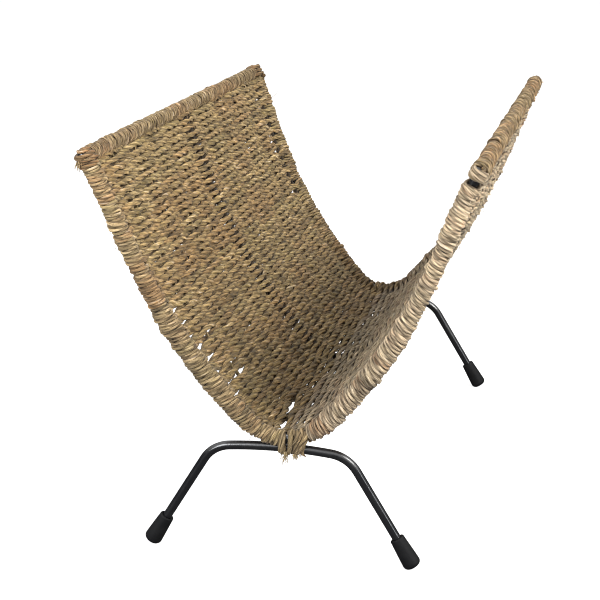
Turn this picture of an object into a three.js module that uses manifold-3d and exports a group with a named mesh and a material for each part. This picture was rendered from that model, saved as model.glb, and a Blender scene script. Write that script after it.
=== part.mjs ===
// A magazine rack: a V-shaped trough of woven seagrass cord, carried by two hoops of bent steel rod
// that stand on two bent-rod leg frames with rubber end caps.
// Millimetres. X runs across the trough, Y along it, Z up. The origin is on the ground, below the
// middle of the trough.
import * as THREE from "three";
import { mergeVertices } from "three/addons/utils/BufferGeometryUtils.js";
import Module from "manifold-3d";

// ---- Driving dimensions ----
const TROUGH_LENGTH = 400; // between the two hoops' axes at the bottom of the trough
const HOOP_LEAN = 0.11; // how far a hoop leans outwards, per millimetre of height

// The trough's half profile, from the middle upwards: a round bottom, a long curved side, a
// straight stretch, and a lip that flares out. Angles are from the horizontal.
const BOTTOM_RADIUS = 34;
const BOTTOM_ANGLE = 46;
const SIDE_RADIUS = 400;
const SIDE_ANGLE = 69;
const STRAIGHT_LENGTH = 24;
const LIP_RADIUS = 344;
const LIP_ANGLE = 63;

const ROD_DIAMETER = 6.4; // every steel rod
const LEG_BAR_HEIGHT = 83.4; // a leg frame's cross bar, at its axis in the middle
const BAR_BOW_RADIUS = 360; // the cross bar is bent upwards a little
const LEG_BEND_HALF_SPREAD = 47.5; // where a leg's axis would reach the bar's height
const FOOT_HALF_SPREAD = 98.5; // where a leg's axis meets the ground
const LEG_BEND_RADIUS = 25; // of the rod's axis
const LEG_OFFSET = -3.5; // the trough was welded on a little to the right of the frames' middle

const CAP_LENGTH = 24;
const CAP_BOTTOM_DIAMETER = 13;
const CAP_TOP_DIAMETER = 10.5;
const CAP_FLOOR = 5; // rubber below the rod's end
const CAP_EDGE_RADIUS = 3.5;

const CORD_DIAMETER = 3.3; // the weft, the bindings of the hoops and the lashings
const RAIL_CORD_DIAMETER = 2; // the strand round the top rails
const WARP_DIAMETER = 3;
const MIDDLE_WARP_DIAMETER = 3.6; // the cord that the weave was started on
const WARPS_PER_HALF = 4; // on each side of the middle warp
const BANDS_PER_SIDE = 5; // bands of weft rows on one side of the trough

const LASHING_LENGTH = 28; // across the trough
const HOOP_WELD_DIAMETER = 2.2;
const HOOP_WELD_LENGTH = 12;
const CORNER_WELD_DIAMETER = 3;

const GAP = 0.3; // between pieces that touch
const WARP_GAP = 0.3; // between a warp and the weft round it

// ---- Fineness ----
const ROD_SIDES = 10;
const SLEEVE_SIDES = 8;
const LEG_BEND_STEPS = 5;
const BOW_STEPS = 3;
const CORD_SIDES = 4;

// ---- Materials ----
const STEEL = new THREE.MeshStandardMaterial({ color: 0x17181b, roughness: 0.38, metalness: 0.5 });
const RUBBER = new THREE.MeshStandardMaterial({ color: 0x1b1c1e, roughness: 0.8, metalness: 0 });
const SEAGRASS = new THREE.MeshStandardMaterial({ color: 0xa88a57, roughness: 0.85, metalness: 0 });
const BINDING = new THREE.MeshStandardMaterial({ color: 0xb3925f, roughness: 0.85, metalness: 0 });

const rad = THREE.MathUtils.degToRad;
const ROD_RADIUS = ROD_DIAMETER / 2;
const HOLE_RADIUS = ROD_RADIUS + GAP;
const SLEEVE_RADIUS = HOLE_RADIUS + CORD_DIAMETER;
const RAIL_SLEEVE_RADIUS = HOLE_RADIUS + RAIL_CORD_DIAMETER;
const HOOP_BOTTOM_HEIGHT = LEG_BAR_HEIGHT + ROD_DIAMETER + GAP;
const WEFT_THICKNESS = WARP_DIAMETER + 1.5 * CORD_DIAMETER;

// ---- The trough's surface ----
// The half profile as a list of stretches, each with its length, its start and its curvature.
const STRETCHES = [
  { length: BOTTOM_RADIUS * rad(BOTTOM_ANGLE), turn: 1 / BOTTOM_RADIUS, steps: 6 },
  { length: SIDE_RADIUS * rad(SIDE_ANGLE - BOTTOM_ANGLE), turn: 1 / SIDE_RADIUS, steps: 3 },
  { length: STRAIGHT_LENGTH, turn: 0, steps: 1 },
  { length: LIP_RADIUS * rad(SIDE_ANGLE - LIP_ANGLE), turn: -1 / LIP_RADIUS, steps: 3 },
];
const HALF_PROFILE = STRETCHES.reduce((sum, stretch) => sum + stretch.length, 0);

// The distances along the half profile at which every swept piece has a section, so that a rod and
// what is wound round it bend at the same places.
const STATIONS = [];
STRETCHES.reduce((start, { length, steps }) => {
  for (let n = 0; n < steps; n += 1) STATIONS.push(start + (length * n) / steps);
  return start + length;
}, 0);

// The sections from one distance to another, both kept, with the stations well between them.
function stationsBetween(from, to) {
  const all = [...STATIONS.slice(1).map((s) => -s), ...STATIONS].sort((a, b) => a - b);
  return [from, ...all.filter((s) => s > from + GAP && s < to - GAP), to];
}

// The profile's point and slope at a signed distance s from the bottom, measured along it.
function profileAt(s) {
  let x = 0;
  let z = HOOP_BOTTOM_HEIGHT;
  let angle = 0;
  let left = Math.abs(s);
  STRETCHES.forEach(({ length, turn }, i) => {
    const run = i === STRETCHES.length - 1 ? left : Math.min(left, length);
    const next = angle + run * turn;
    x += turn ? (Math.sin(next) - Math.sin(angle)) / turn : run * Math.cos(angle);
    z += turn ? (Math.cos(angle) - Math.cos(next)) / turn : run * Math.sin(angle);
    angle = next;
    left -= run;
  });
  const side = Math.sign(s) || 1;
  return { x: side * x, z, slope: side * angle };
}

// Half of the trough's length at a height.
const halfLengthAt = (z) => TROUGH_LENGTH / 2 + HOOP_LEAN * (z - HOOP_BOTTOM_HEIGHT);

// A point of the trough: s along the profile, y along the trough, lift above the middle surface.
function troughPoint(s, y, lift = 0) {
  const { x, z, slope } = profileAt(s);
  return new THREE.Vector3(x - lift * Math.sin(slope), y, z + lift * Math.cos(slope));
}

// A point on a hoop's axis. end is -1 at the front and 1 at the rear.
function hoopPoint(s, end) {
  const { x, z } = profileAt(s);
  return new THREE.Vector3(x, end * halfLengthAt(z), z);
}

// ---- Shape helpers ----
// A path of straight runs through given points, swept with one section at each point.
class StationPath extends THREE.Curve {
  constructor(points) {
    super();
    this.points = points;
  }

  getUtoTmapping(u) {
    return u;
  }

  getPoint(t) {
    const place = t * (this.points.length - 1);
    const i = Math.min(Math.floor(place), this.points.length - 2);
    return this.points[i].clone().lerp(this.points[i + 1], place - i);
  }

  // At a point, halfway between the directions of the runs that meet there.
  getTangent(t) {
    const i = Math.round(t * (this.points.length - 1));
    const run = (a, b) => new THREE.Vector3().subVectors(this.points[b], this.points[a]).normalize();
    const before = run(Math.max(i - 1, 0), Math.max(i, 1));
    const after = run(Math.min(i, this.points.length - 2), Math.min(i + 1, this.points.length - 1));
    return before.add(after).normalize();
  }
}

function roundSection(radius, sides, holeRadius = 0) {
  const ring = (r, count) =>
    Array.from({ length: count }, (_, i) => {
      const turn = (2 * Math.PI * (i + 0.5)) / count;
      return new THREE.Vector2(r * Math.cos(turn), r * Math.sin(turn));
    });
  const section = new THREE.Shape(ring(radius, sides));
  if (holeRadius) section.holes.push(new THREE.Path(ring(holeRadius, ROD_SIDES).reverse()));
  return section;
}

function sweep(section, points) {
  const extrudePath = new StationPath(points);
  return new THREE.ExtrudeGeometry(section, { steps: points.length - 1, extrudePath, bevelEnabled: false });
}

const wasm = await Module();
wasm.setup();

function toSolid(geometry, matrix = new THREE.Matrix4()) {
  const bare = geometry.clone().applyMatrix4(matrix);
  bare.deleteAttribute("normal");
  bare.deleteAttribute("uv");
  const merged = mergeVertices(bare, 1e-4);
  const vertProperties = merged.attributes.position.array;
  return new wasm.Manifold(new wasm.Mesh({ numProp: 3, vertProperties, triVerts: merged.index.array }));
}

function toGeometry(solid) {
  const { vertProperties, triVerts } = solid.getMesh();
  const geometry = new THREE.BufferGeometry();
  geometry.setAttribute("position", new THREE.BufferAttribute(vertProperties, 3));
  geometry.setIndex(new THREE.BufferAttribute(triVerts, 1));
  geometry.computeVertexNormals();
  return geometry;
}

const rack = new THREE.Group();

function add(name, geometry, material, matrix) {
  const mesh = new THREE.Mesh(geometry, material);
  mesh.name = name;
  if (matrix) mesh.applyMatrix4(matrix);
  rack.add(mesh);
  return mesh;
}

const ENDS = [["front", -1], ["rear", 1]];
const SIDES = [["left", -1], ["right", 1]];

// ---- Leg frames ----
// The bowed bar's height over its ends, at a distance from the frame's middle.
const bowDrop = (x) => BAR_BOW_RADIUS - Math.sqrt(BAR_BOW_RADIUS ** 2 - x ** 2);

// The axis of one leg frame: up one leg, along the bowed cross bar and down the other leg. The bend
// between them is a round that touches both.
function legFrameAxis(y, footHeight) {
  const legRun = FOOT_HALF_SPREAD - LEG_BEND_HALF_SPREAD;
  const turn = Math.atan2(LEG_BAR_HEIGHT, legRun); // of the rod, between level and leg
  const outwards = new THREE.Vector2(Math.sin(turn), Math.cos(turn));
  const down = new THREE.Vector2(Math.cos(turn), -Math.sin(turn));
  // The bend's centre lies beside the leg and on a circle round the bow's centre.
  const beside = new THREE.Vector2(LEG_BEND_HALF_SPREAD, BAR_BOW_RADIUS).addScaledVector(outwards, -LEG_BEND_RADIUS);
  const reach = BAR_BOW_RADIUS - LEG_BEND_RADIUS;
  const along = beside.dot(down);
  const centre = beside.addScaledVector(down, -along - Math.sqrt(along ** 2 - beside.lengthSq() + reach ** 2));
  const bowEnd = Math.atan2(centre.x, centre.y);
  const bowHeight = LEG_BAR_HEIGHT - BAR_BOW_RADIUS;
  const half = [];
  for (let n = 1; n < BOW_STEPS; n += 1) {
    const angle = (bowEnd * n) / BOW_STEPS;
    half.push(new THREE.Vector3(BAR_BOW_RADIUS * Math.sin(angle), y, bowHeight + BAR_BOW_RADIUS * Math.cos(angle)));
  }
  for (let n = 0; n <= LEG_BEND_STEPS; n += 1) {
    const angle = bowEnd + ((turn - bowEnd) * n) / LEG_BEND_STEPS;
    const x = centre.x + LEG_BEND_RADIUS * Math.sin(angle);
    half.push(new THREE.Vector3(x, y, bowHeight + centre.y + LEG_BEND_RADIUS * Math.cos(angle)));
  }
  half.push(new THREE.Vector3(FOOT_HALF_SPREAD - (legRun * footHeight) / LEG_BAR_HEIGHT, y, footHeight));
  const mirrored = half.map((p) => new THREE.Vector3(-p.x, p.y, p.z)).reverse();
  const middle = new THREE.Vector3(0, y, LEG_BAR_HEIGHT);
  return [...mirrored, middle, ...half].map((p) => p.setX(p.x + LEG_OFFSET));
}

const LEG_ANGLE = Math.atan2(FOOT_HALF_SPREAD - LEG_BEND_HALF_SPREAD, LEG_BAR_HEIGHT); // from the vertical
// A cap's round lower edge would reach this far below its own bottom centre; the cap is raised by
// it, less the flat that the ground wears on it.
const FOOT_FLAT_DEPTH = 0.6;
const CAP_EDGE_DROP = (CAP_BOTTOM_DIAMETER / 2 - CAP_EDGE_RADIUS) * Math.sin(LEG_ANGLE)
  - CAP_EDGE_RADIUS * Math.cos(LEG_ANGLE) + CAP_EDGE_RADIUS;
const CAP_CENTRE_HEIGHT = CAP_EDGE_DROP - FOOT_FLAT_DEPTH;
const ROD_END_HEIGHT = CAP_CENTRE_HEIGHT + (CAP_FLOOR + GAP) * Math.cos(LEG_ANGLE);

for (const [end, sign] of ENDS) {
  const axis = legFrameAxis((sign * TROUGH_LENGTH) / 2, ROD_END_HEIGHT);
  add(`${end}_leg_frame`, sweep(roundSection(ROD_RADIUS, ROD_SIDES), axis), STEEL);
}

// ---- Rubber end caps ----
const capProfile = new THREE.Path();
capProfile.moveTo(0, 0);
capProfile.lineTo(CAP_BOTTOM_DIAMETER / 2 - CAP_EDGE_RADIUS, 0);
capProfile.absarc(CAP_BOTTOM_DIAMETER / 2 - CAP_EDGE_RADIUS, CAP_EDGE_RADIUS, CAP_EDGE_RADIUS, -Math.PI / 2, 0);
capProfile.lineTo(CAP_TOP_DIAMETER / 2, CAP_LENGTH);
capProfile.lineTo(HOLE_RADIUS, CAP_LENGTH);
capProfile.lineTo(HOLE_RADIUS, CAP_FLOOR);
capProfile.lineTo(0, CAP_FLOOR);
const CAP_ARC_POINTS = 4;
const capShape = new THREE.LatheGeometry(capProfile.getPoints(CAP_ARC_POINTS), ROD_SIDES);
const belowGround = new THREE.BoxGeometry(4 * CAP_LENGTH, 4 * CAP_LENGTH, 2 * CAP_LENGTH);
belowGround.translate(0, 0, -CAP_LENGTH);

for (const [end, endSign] of ENDS) {
  for (const [side, sideSign] of SIDES) {
    const upright = new THREE.Matrix4().makeRotationX(Math.PI / 2);
    const tilt = new THREE.Matrix4().makeRotationY(-sideSign * LEG_ANGLE);
    const out = FOOT_HALF_SPREAD - CAP_CENTRE_HEIGHT * Math.tan(LEG_ANGLE);
    const place = new THREE.Matrix4().makeTranslation(0, 0, CAP_CENTRE_HEIGHT).multiply(tilt).multiply(upright);
    const worn = toSolid(capShape, place).subtract(toSolid(belowGround));
    const x = LEG_OFFSET + sideSign * out;
    const centre = new THREE.Matrix4().makeTranslation(x, (endSign * TROUGH_LENGTH) / 2, 0);
    add(`${end}_${side}_foot_cap`, toGeometry(worn), RUBBER, centre);
  }
}

// ---- Hoops and top rails ----
const RAIL_POINT = profileAt(HALF_PROFILE);
const RAIL_HALF_LENGTH = halfLengthAt(RAIL_POINT.z);
for (const [end, sign] of ENDS) {
  const stations = stationsBetween(-HALF_PROFILE - ROD_RADIUS, HALF_PROFILE + ROD_RADIUS);
  const axis = stations.map((s) => hoopPoint(s, sign));
  add(`${end}_hoop`, sweep(roundSection(ROD_RADIUS, ROD_SIDES), axis), STEEL);
}

// A straight round piece along Y, from the hoops' inner sides less a clearance.
function alongRail(side, radius, holeRadius, clearance) {
  const half = RAIL_HALF_LENGTH - clearance;
  const axis = [-half, half].map((y) => new THREE.Vector3(side * RAIL_POINT.x, y, RAIL_POINT.z));
  return sweep(roundSection(radius, ROD_SIDES, holeRadius), axis);
}

for (const [side, sign] of SIDES) {
  add(`${side}_top_rail`, alongRail(sign, ROD_RADIUS, 0, ROD_RADIUS + GAP), STEEL);
  add(`${side}_rail_binding`, alongRail(sign, RAIL_SLEEVE_RADIUS, HOLE_RADIUS, SLEEVE_RADIUS + 2 * GAP), BINDING);
}

// ---- Welds ----
// A hoop lies along its cross bar at the middle, so a bead runs in the groove on each side.
const beadRadius = HOOP_WELD_DIAMETER / 2;
const grooveReach = Math.sqrt(
  (ROD_RADIUS + GAP / 2 + beadRadius) ** 2 - ((HOOP_BOTTOM_HEIGHT - LEG_BAR_HEIGHT) / 2) ** 2,
);
const alongX = new THREE.Matrix4().makeRotationZ(Math.PI / 2);
const bead = new THREE.CapsuleGeometry(beadRadius, HOOP_WELD_LENGTH - HOOP_WELD_DIAMETER, 2, 8).applyMatrix4(alongX);
for (const [end, endSign] of ENDS) {
  for (const [face, out] of [["outer", 1], ["inner", -1]]) {
    const y = endSign * (TROUGH_LENGTH / 2 + out * grooveReach);
    const place = new THREE.Matrix4().makeTranslation(0, y, (HOOP_BOTTOM_HEIGHT + LEG_BAR_HEIGHT) / 2);
    add(`${end}_hoop_weld_${face}`, bead, STEEL, place);
  }
}

// Each rail end is held by a bead in the corner below it.
const cornerReach = ROD_RADIUS + GAP + CORNER_WELD_DIAMETER / 2;
for (const [end, endSign] of ENDS) {
  for (const [side, sideSign] of SIDES) {
    const { x, z } = profileAt(sideSign * (HALF_PROFILE - cornerReach));
    const y = endSign * (halfLengthAt(z) - cornerReach);
    const geometry = new THREE.SphereGeometry(CORNER_WELD_DIAMETER / 2, 8, 6);
    add(`${end}_${side}_corner_weld`, geometry, STEEL, new THREE.Matrix4().makeTranslation(x, y, z));
  }
}

// ---- Lashings ----
// The cord that ties a hoop's lowest part to its bar is wound round both.
const lashingReach = grooveReach + beadRadius + GAP;
const lashingWall = lashingReach + CORD_DIAMETER;
const lashingSlope = Math.asin(LASHING_LENGTH / 2 / BOTTOM_RADIUS); // of the hoop at the lashing's ends
const hoopRise = BOTTOM_RADIUS * (1 - Math.cos(lashingSlope));
const lashingLow = LEG_BAR_HEIGHT - HOLE_RADIUS - bowDrop(LASHING_LENGTH / 2 + Math.abs(LEG_OFFSET));
const lashingHigh = HOOP_BOTTOM_HEIGHT + hoopRise + HOLE_RADIUS / Math.cos(lashingSlope);

function roundedRectangle(halfWidth, low, high, radius) {
  const path = new THREE.Path();
  path.absarc(halfWidth - radius, high - radius, radius, 0, Math.PI / 2);
  path.absarc(radius - halfWidth, high - radius, radius, Math.PI / 2, Math.PI);
  path.absarc(radius - halfWidth, low + radius, radius, Math.PI, 1.5 * Math.PI);
  path.absarc(halfWidth - radius, low + radius, radius, 1.5 * Math.PI, 2 * Math.PI);
  return path.getPoints(3).slice(0, -1);
}

const lashingSection = new THREE.Shape(
  roundedRectangle(lashingWall, lashingLow - CORD_DIAMETER, lashingHigh + CORD_DIAMETER, CORD_DIAMETER + 2),
);
lashingSection.holes.push(new THREE.Path(roundedRectangle(lashingReach, lashingLow, lashingHigh, 2)));
const lashing = new THREE.ExtrudeGeometry(lashingSection, { depth: LASHING_LENGTH, bevelEnabled: false, steps: 1 });
lashing.translate(0, 0, -LASHING_LENGTH / 2);
// The section's first axis goes to Y, its second to Z and the extrusion to X.
const toCrossBar = new THREE.Matrix4().makeBasis(
  new THREE.Vector3(0, 1, 0),
  new THREE.Vector3(0, 0, 1),
  new THREE.Vector3(1, 0, 0),
);
for (const [end, sign] of ENDS) {
  const place = new THREE.Matrix4().makeTranslation(0, (sign * TROUGH_LENGTH) / 2, 0).multiply(toCrossBar);
  add(`${end}_lashing`, lashing, BINDING, place);
}

// ---- Bindings round the hoops ----
// A binding starts where its inner side clears the lashing and ends below the corner's weld.
const clearAngle = Math.asin((LASHING_LENGTH / 2 + 2 * GAP) / (BOTTOM_RADIUS - SLEEVE_RADIUS));
const bindingStart = BOTTOM_RADIUS * Math.min(clearAngle, rad(BOTTOM_ANGLE));
const bindingEnd = HALF_PROFILE - cornerReach - CORNER_WELD_DIAMETER / 2 - 2 * GAP;
for (const [end, endSign] of ENDS) {
  for (const [side, sideSign] of SIDES) {
    const axis = stationsBetween(bindingStart, bindingEnd).map((s) => hoopPoint(sideSign * s, endSign));
    const section = roundSection(SLEEVE_RADIUS, SLEEVE_SIDES, HOLE_RADIUS);
    add(`${end}_${side}_hoop_binding`, sweep(section, axis), BINDING);
  }
}

// ---- Warps ----
// Warp number i of a half lies at a share of the trough's half length, so the warps fan out with
// the leaning hoops.
const railClearance = RAIL_SLEEVE_RADIUS + 2 * GAP;
const warpShare = (i) => i / (WARPS_PER_HALF + 1);
const warpRadius = (i) => (i === 0 ? MIDDLE_WARP_DIAMETER : WARP_DIAMETER) / 2;
function warpAxis(i, overrun) {
  const reach = HALF_PROFILE - railClearance + overrun;
  const point = (s) => troughPoint(s, warpShare(i) * halfLengthAt(profileAt(s).z));
  return stationsBetween(-reach, reach).map(point);
}

const warpNumbers = Array.from({ length: 2 * WARPS_PER_HALF + 1 }, (_, n) => n - WARPS_PER_HALF);
const warpTunnels = warpNumbers.map((i) =>
  toSolid(sweep(roundSection(warpRadius(i) + WARP_GAP, CORD_SIDES), warpAxis(i, CORD_DIAMETER))),
);
warpNumbers.forEach((i, n) => {
  add(`warp_${n + 1}`, sweep(roundSection(warpRadius(i), CORD_SIDES), warpAxis(i, 0)), SEAGRASS);
});

// ---- Bands of weft rows ----
// A band is the solid between two distances along the profile. It ends short of the hoops'
// bindings, or of the lashing if that is wider.
const endClearance = Math.max(SLEEVE_RADIUS, lashingWall) + 2 * GAP;

function bandSolid(from, to) {
  const stations = stationsBetween(from, to);
  const corners = [];
  for (const s of stations) {
    const half = halfLengthAt(profileAt(s).z) - endClearance;
    for (const lift of [-WEFT_THICKNESS / 2, WEFT_THICKNESS / 2]) {
      corners.push(troughPoint(s, -half, lift), troughPoint(s, half, lift));
    }
  }
  // Each step has four corners: low front, low rear, high front, high rear.
  const faces = [];
  const quad = (a, b, c, d) => faces.push(a, b, c, a, c, d);
  quad(0, 2, 3, 1);
  const steps = stations.length - 1;
  for (let n = 0; n < steps; n += 1) {
    const a = 4 * n;
    const b = a + 4;
    quad(a, a + 1, b + 1, b);
    quad(a + 2, b + 2, b + 3, a + 3);
    quad(a, b, b + 2, a + 2);
    quad(a + 1, a + 3, b + 3, b + 1);
  }
  const last = 4 * steps;
  quad(last, last + 1, last + 3, last + 2);
  const geometry = new THREE.BufferGeometry().setFromPoints(corners);
  geometry.setIndex(faces);
  return toSolid(geometry);
}

const bandReach = HALF_PROFILE - railClearance;
for (const [side, sign] of SIDES) {
  for (let n = 0; n < BANDS_PER_SIDE; n += 1) {
    const near = (bandReach * n) / BANDS_PER_SIDE + GAP / 2;
    const far = (bandReach * (n + 1)) / BANDS_PER_SIDE - GAP / 2;
    const [from, to] = sign > 0 ? [near, far] : [-far, -near];
    const woven = warpTunnels.reduce((solid, tunnel) => solid.subtract(tunnel), bandSolid(from, to));
    add(`${side}_weft_band_${n + 1}`, toGeometry(woven), SEAGRASS);
  }
}

export default rack;
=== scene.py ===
"""Visual model of a magazine rack: a V-shaped trough of woven seagrass cord on black bent rods.

The classes hold their sizes in millimetres, and a mesh turns them into metres when it is made.
X runs across the trough, Y along it and Z up, as in the CAD model. The front is at -Y and the left
at -X. A distance called s is measured along the trough's profile from its lowest line, negative on
the left, and a lift is measured from the middle of the weave towards the inside of the trough.
"""

import logging
import math
from dataclasses import dataclass, field, replace
from enum import Enum
from typing import Any

import bpy
import numpy as np
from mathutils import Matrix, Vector

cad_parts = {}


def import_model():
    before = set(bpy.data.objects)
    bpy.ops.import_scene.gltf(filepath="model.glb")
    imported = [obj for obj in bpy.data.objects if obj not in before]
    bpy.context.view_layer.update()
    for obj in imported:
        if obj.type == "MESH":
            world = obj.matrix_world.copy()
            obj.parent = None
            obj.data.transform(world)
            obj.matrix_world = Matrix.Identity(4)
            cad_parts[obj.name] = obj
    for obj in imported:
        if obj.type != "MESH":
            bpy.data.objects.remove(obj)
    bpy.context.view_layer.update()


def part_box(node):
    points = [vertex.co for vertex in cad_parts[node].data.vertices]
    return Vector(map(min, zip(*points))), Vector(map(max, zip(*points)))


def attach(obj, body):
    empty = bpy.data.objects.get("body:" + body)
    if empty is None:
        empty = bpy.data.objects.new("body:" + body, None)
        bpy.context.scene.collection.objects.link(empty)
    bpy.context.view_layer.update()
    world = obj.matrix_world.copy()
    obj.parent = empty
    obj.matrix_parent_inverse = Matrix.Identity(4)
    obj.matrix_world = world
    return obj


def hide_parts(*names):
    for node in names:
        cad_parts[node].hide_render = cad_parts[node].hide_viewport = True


LOG = logging.getLogger("magazine_rack")
MM = 0.001
BODY = "root"
BAKE_MAP = "OFBake"

# Sizes that more than one class uses, in millimetres
ROD_RADIUS = 3.2
BAR_HEIGHT = 83.4  # of a leg frame's cross bar, at its axis in the middle
WARP_COUNT = 9
MIDDLE_WARP_SHIFT = -0.045  # as a share of the half length
WARP_STEP = 1.15  # between two points of a warp's axis

ALONG_Y = np.array([0.0, 1.0, 0.0])
ALONG_Z = np.array([0.0, 0.0, 1.0])


class End(Enum):
    """An end of the trough, with the sign of its Y."""

    FRONT = -1
    REAR = 1

    @property
    def word(self) -> str:
        """The end's name as the CAD nodes have it."""
        return self.name.lower()


class Side(Enum):
    """A side of the trough, with the sign of its X."""

    LEFT = -1
    RIGHT = 1

    @property
    def word(self) -> str:
        """The side's name as the CAD nodes have it."""
        return self.name.lower()


class Slot(Enum):
    """The record's material slots."""

    STEEL = "steel"
    RUBBER = "rubber"
    SEAGRASS = "seagrass"
    BINDING = "binding"


def unit(vectors: np.ndarray) -> np.ndarray:
    """Scales each row of an array to length one."""
    return vectors / np.maximum(np.linalg.norm(vectors, axis=-1, keepdims=True), 1e-12)


def ease(t: np.ndarray | float) -> np.ndarray:
    """Rises smoothly from 0 to 1 as t goes from 0 to 1."""
    t = np.clip(t, 0.0, 1.0)
    return t * t * (3 - 2 * t)


def evenly(path: np.ndarray, step: float) -> np.ndarray:
    """Places points at equal distances along a path.

    Args:
        path: points of the path, one a row.
        step: the distance wanted between two points.

    Returns:
        The new points, both ends kept.
    """
    run = np.concatenate([[0.0], np.cumsum(np.linalg.norm(np.diff(path, axis=0), axis=1))])
    count = max(2, int(round(run[-1] / step)) + 1)
    at = np.linspace(0.0, run[-1], count)
    return np.stack([np.interp(at, run, path[:, k]) for k in range(path.shape[1])], axis=1)


class Wander:
    """A smooth random curve, for what a hand doesn't keep quite even."""

    def __init__(self, rng: np.random.Generator, reach: float, knot: float, spread: float) -> None:
        """Draws the curve's heights.

        Args:
            rng: the source of the draws.
            reach: the curve is drawn from -reach to reach.
            knot: distance between two drawn heights.
            spread: standard deviation of the heights.
        """
        count = int(2 * reach / knot) + 3
        self.start, self.knot = -reach - knot, knot
        self.heights = rng.normal(0.0, spread, count + 2)

    def at(self, place: np.ndarray) -> np.ndarray:
        """Reads the curve.

        Args:
            place: where to read it.

        Returns:
            The curve's height at each place.
        """
        share = (place - self.start) / self.knot
        low = np.clip(np.floor(share).astype(int), 0, len(self.heights) - 2)
        blend = ease(share - low)
        return self.heights[low] * (1 - blend) + self.heights[low + 1] * blend


# ---- The trough's shape ----
@dataclass(frozen=True)
class TroughShape:
    """The surface that the cords are woven in, and the hoops' axes at its two ends."""

    length: float = 400.0  # between the hoops' axes at the bottom
    lean: float = 0.11  # how far a hoop leans outwards, per millimetre of height
    base_height: float = 90.1  # of the hoops' lowest point
    bottom: tuple[float, float] = (34.0, 46.0)  # radius, and angle at its end
    flank: tuple[float, float] = (400.0, 69.0)
    straight: float = 24.0
    lip: tuple[float, float] = (344.0, 63.0)

    @property
    def stretches(self) -> list[tuple[float, float]]:
        """Length and turn per millimetre of each stretch of the half profile, from the bottom."""
        low, high, end = (math.radians(a) for a in (self.bottom[1], self.flank[1], self.lip[1]))
        return [
            (self.bottom[0] * low, 1 / self.bottom[0]),
            (self.flank[0] * (high - low), 1 / self.flank[0]),
            (self.straight, 0.0),
            (self.lip[0] * (high - end), -1 / self.lip[0]),
        ]

    @property
    def half_profile(self) -> float:
        """Distance along the profile from the bottom to a top rail."""
        return sum(length for length, _ in self.stretches)

    def at(self, s: np.ndarray) -> tuple[np.ndarray, np.ndarray, np.ndarray]:
        """Follows the profile.

        Args:
            s: distances from the bottom along the profile.

        Returns:
            X, Z and the slope there, in radians.
        """
        s = np.asarray(s, float)
        left = np.abs(s)
        x, z, angle = np.zeros_like(left), np.full_like(left, self.base_height), np.zeros_like(left)
        stretches = self.stretches
        for n, (length, turn) in enumerate(stretches):
            run = left if n == len(stretches) - 1 else np.minimum(left, length)
            after = angle + run * turn
            if turn:
                x = x + (np.sin(after) - np.sin(angle)) / turn
                z = z + (np.cos(angle) - np.cos(after)) / turn
            else:
                x, z = x + run * np.cos(angle), z + run * np.sin(angle)
            angle, left = after, left - run
        side = np.where(s < 0, -1.0, 1.0)
        return side * x, z, side * angle

    def half_length(self, z: np.ndarray) -> np.ndarray:
        """Half of the trough's length at a height."""
        return self.length / 2 + self.lean * (z - self.base_height)

    def point(self, s: np.ndarray, y: np.ndarray, lift: np.ndarray | float = 0.0) -> np.ndarray:
        """Finds points of the surface, or beside it.

        Args:
            s: distances along the profile.
            y: their places along the trough.
            lift: how far they stand off the surface, towards the trough's inside.

        Returns:
            The points, one a row.
        """
        x, z, slope = self.at(s)
        y = np.broadcast_to(y, x.shape)
        return np.stack([x - lift * np.sin(slope), y, z + lift * np.cos(slope)], axis=-1)

    def normal(self, s: np.ndarray) -> np.ndarray:
        """The direction of a lift."""
        _, _, slope = self.at(s)
        return np.stack([-np.sin(slope), np.zeros_like(slope), np.cos(slope)], axis=-1)

    def hoop_point(self, s: np.ndarray, end: End) -> np.ndarray:
        """Points on a hoop's axis."""
        x, z, _ = self.at(s)
        return np.stack([x, end.value * self.half_length(z), z], axis=-1)

    def hoop_axis(self, s: np.ndarray, end: End) -> np.ndarray:
        """Finds a hoop's direction.

        Args:
            s: distances along the profile.
            end: which hoop.

        Returns:
            The hoop's direction at each distance, towards greater s.
        """
        _, _, slope = self.at(s)
        rise = np.sin(slope)
        return unit(np.stack([np.cos(slope), end.value * self.lean * rise, rise], axis=-1))


TROUGH = TroughShape()


# ---- Cords and other swept pieces ----
@dataclass(frozen=True)
class Cord:
    """A cord of strands laid up together, or a plain round rod where they stand off by nothing."""

    radius: float
    lay: float = 12.0  # length of one full turn of the strands
    step: float = 1.15
    strands: int = 3
    sides: int = 18
    strand_offset: float = 0.45  # of a strand's middle, as a share of the radius
    unevenness: float = 0.07  # how far a strand's thickness varies

    def outline(self) -> tuple[np.ndarray, np.ndarray]:
        """The section round the strands.

        Returns:
            The angles of its points, and their distances from the middle for a radius of 1.
        """
        angle = 2 * np.pi * np.arange(self.sides) / self.sides
        sector = 2 * np.pi / self.strands
        off = (angle + sector / 2) % sector - sector / 2
        offset, strand = self.strand_offset, 1 - self.strand_offset
        return angle, offset * np.cos(off) + np.sqrt(strand**2 - (offset * np.sin(off)) ** 2)


@dataclass
class Sweep:
    """One swept length inside a piece."""

    points: np.ndarray  # rings x sides x 3, in millimetres
    strand: np.ndarray  # rings x sides: painted shade, 1 between the strands and in crevices
    groove_shade: np.ndarray  # rings x sides: 1 between the strands
    tone: np.ndarray  # rings x sides, or rings x 1: brightness
    hue: float
    run: np.ndarray  # rings: distance along, from 0

    def darken(self, hidden: np.ndarray) -> None:
        """Adds painted shade in the crevices between neighbouring cords to the painted shade between the strands."""
        self.groove_shade = 1 - (1 - 0.75 * self.groove_shade) * (1 - hidden)


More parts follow.
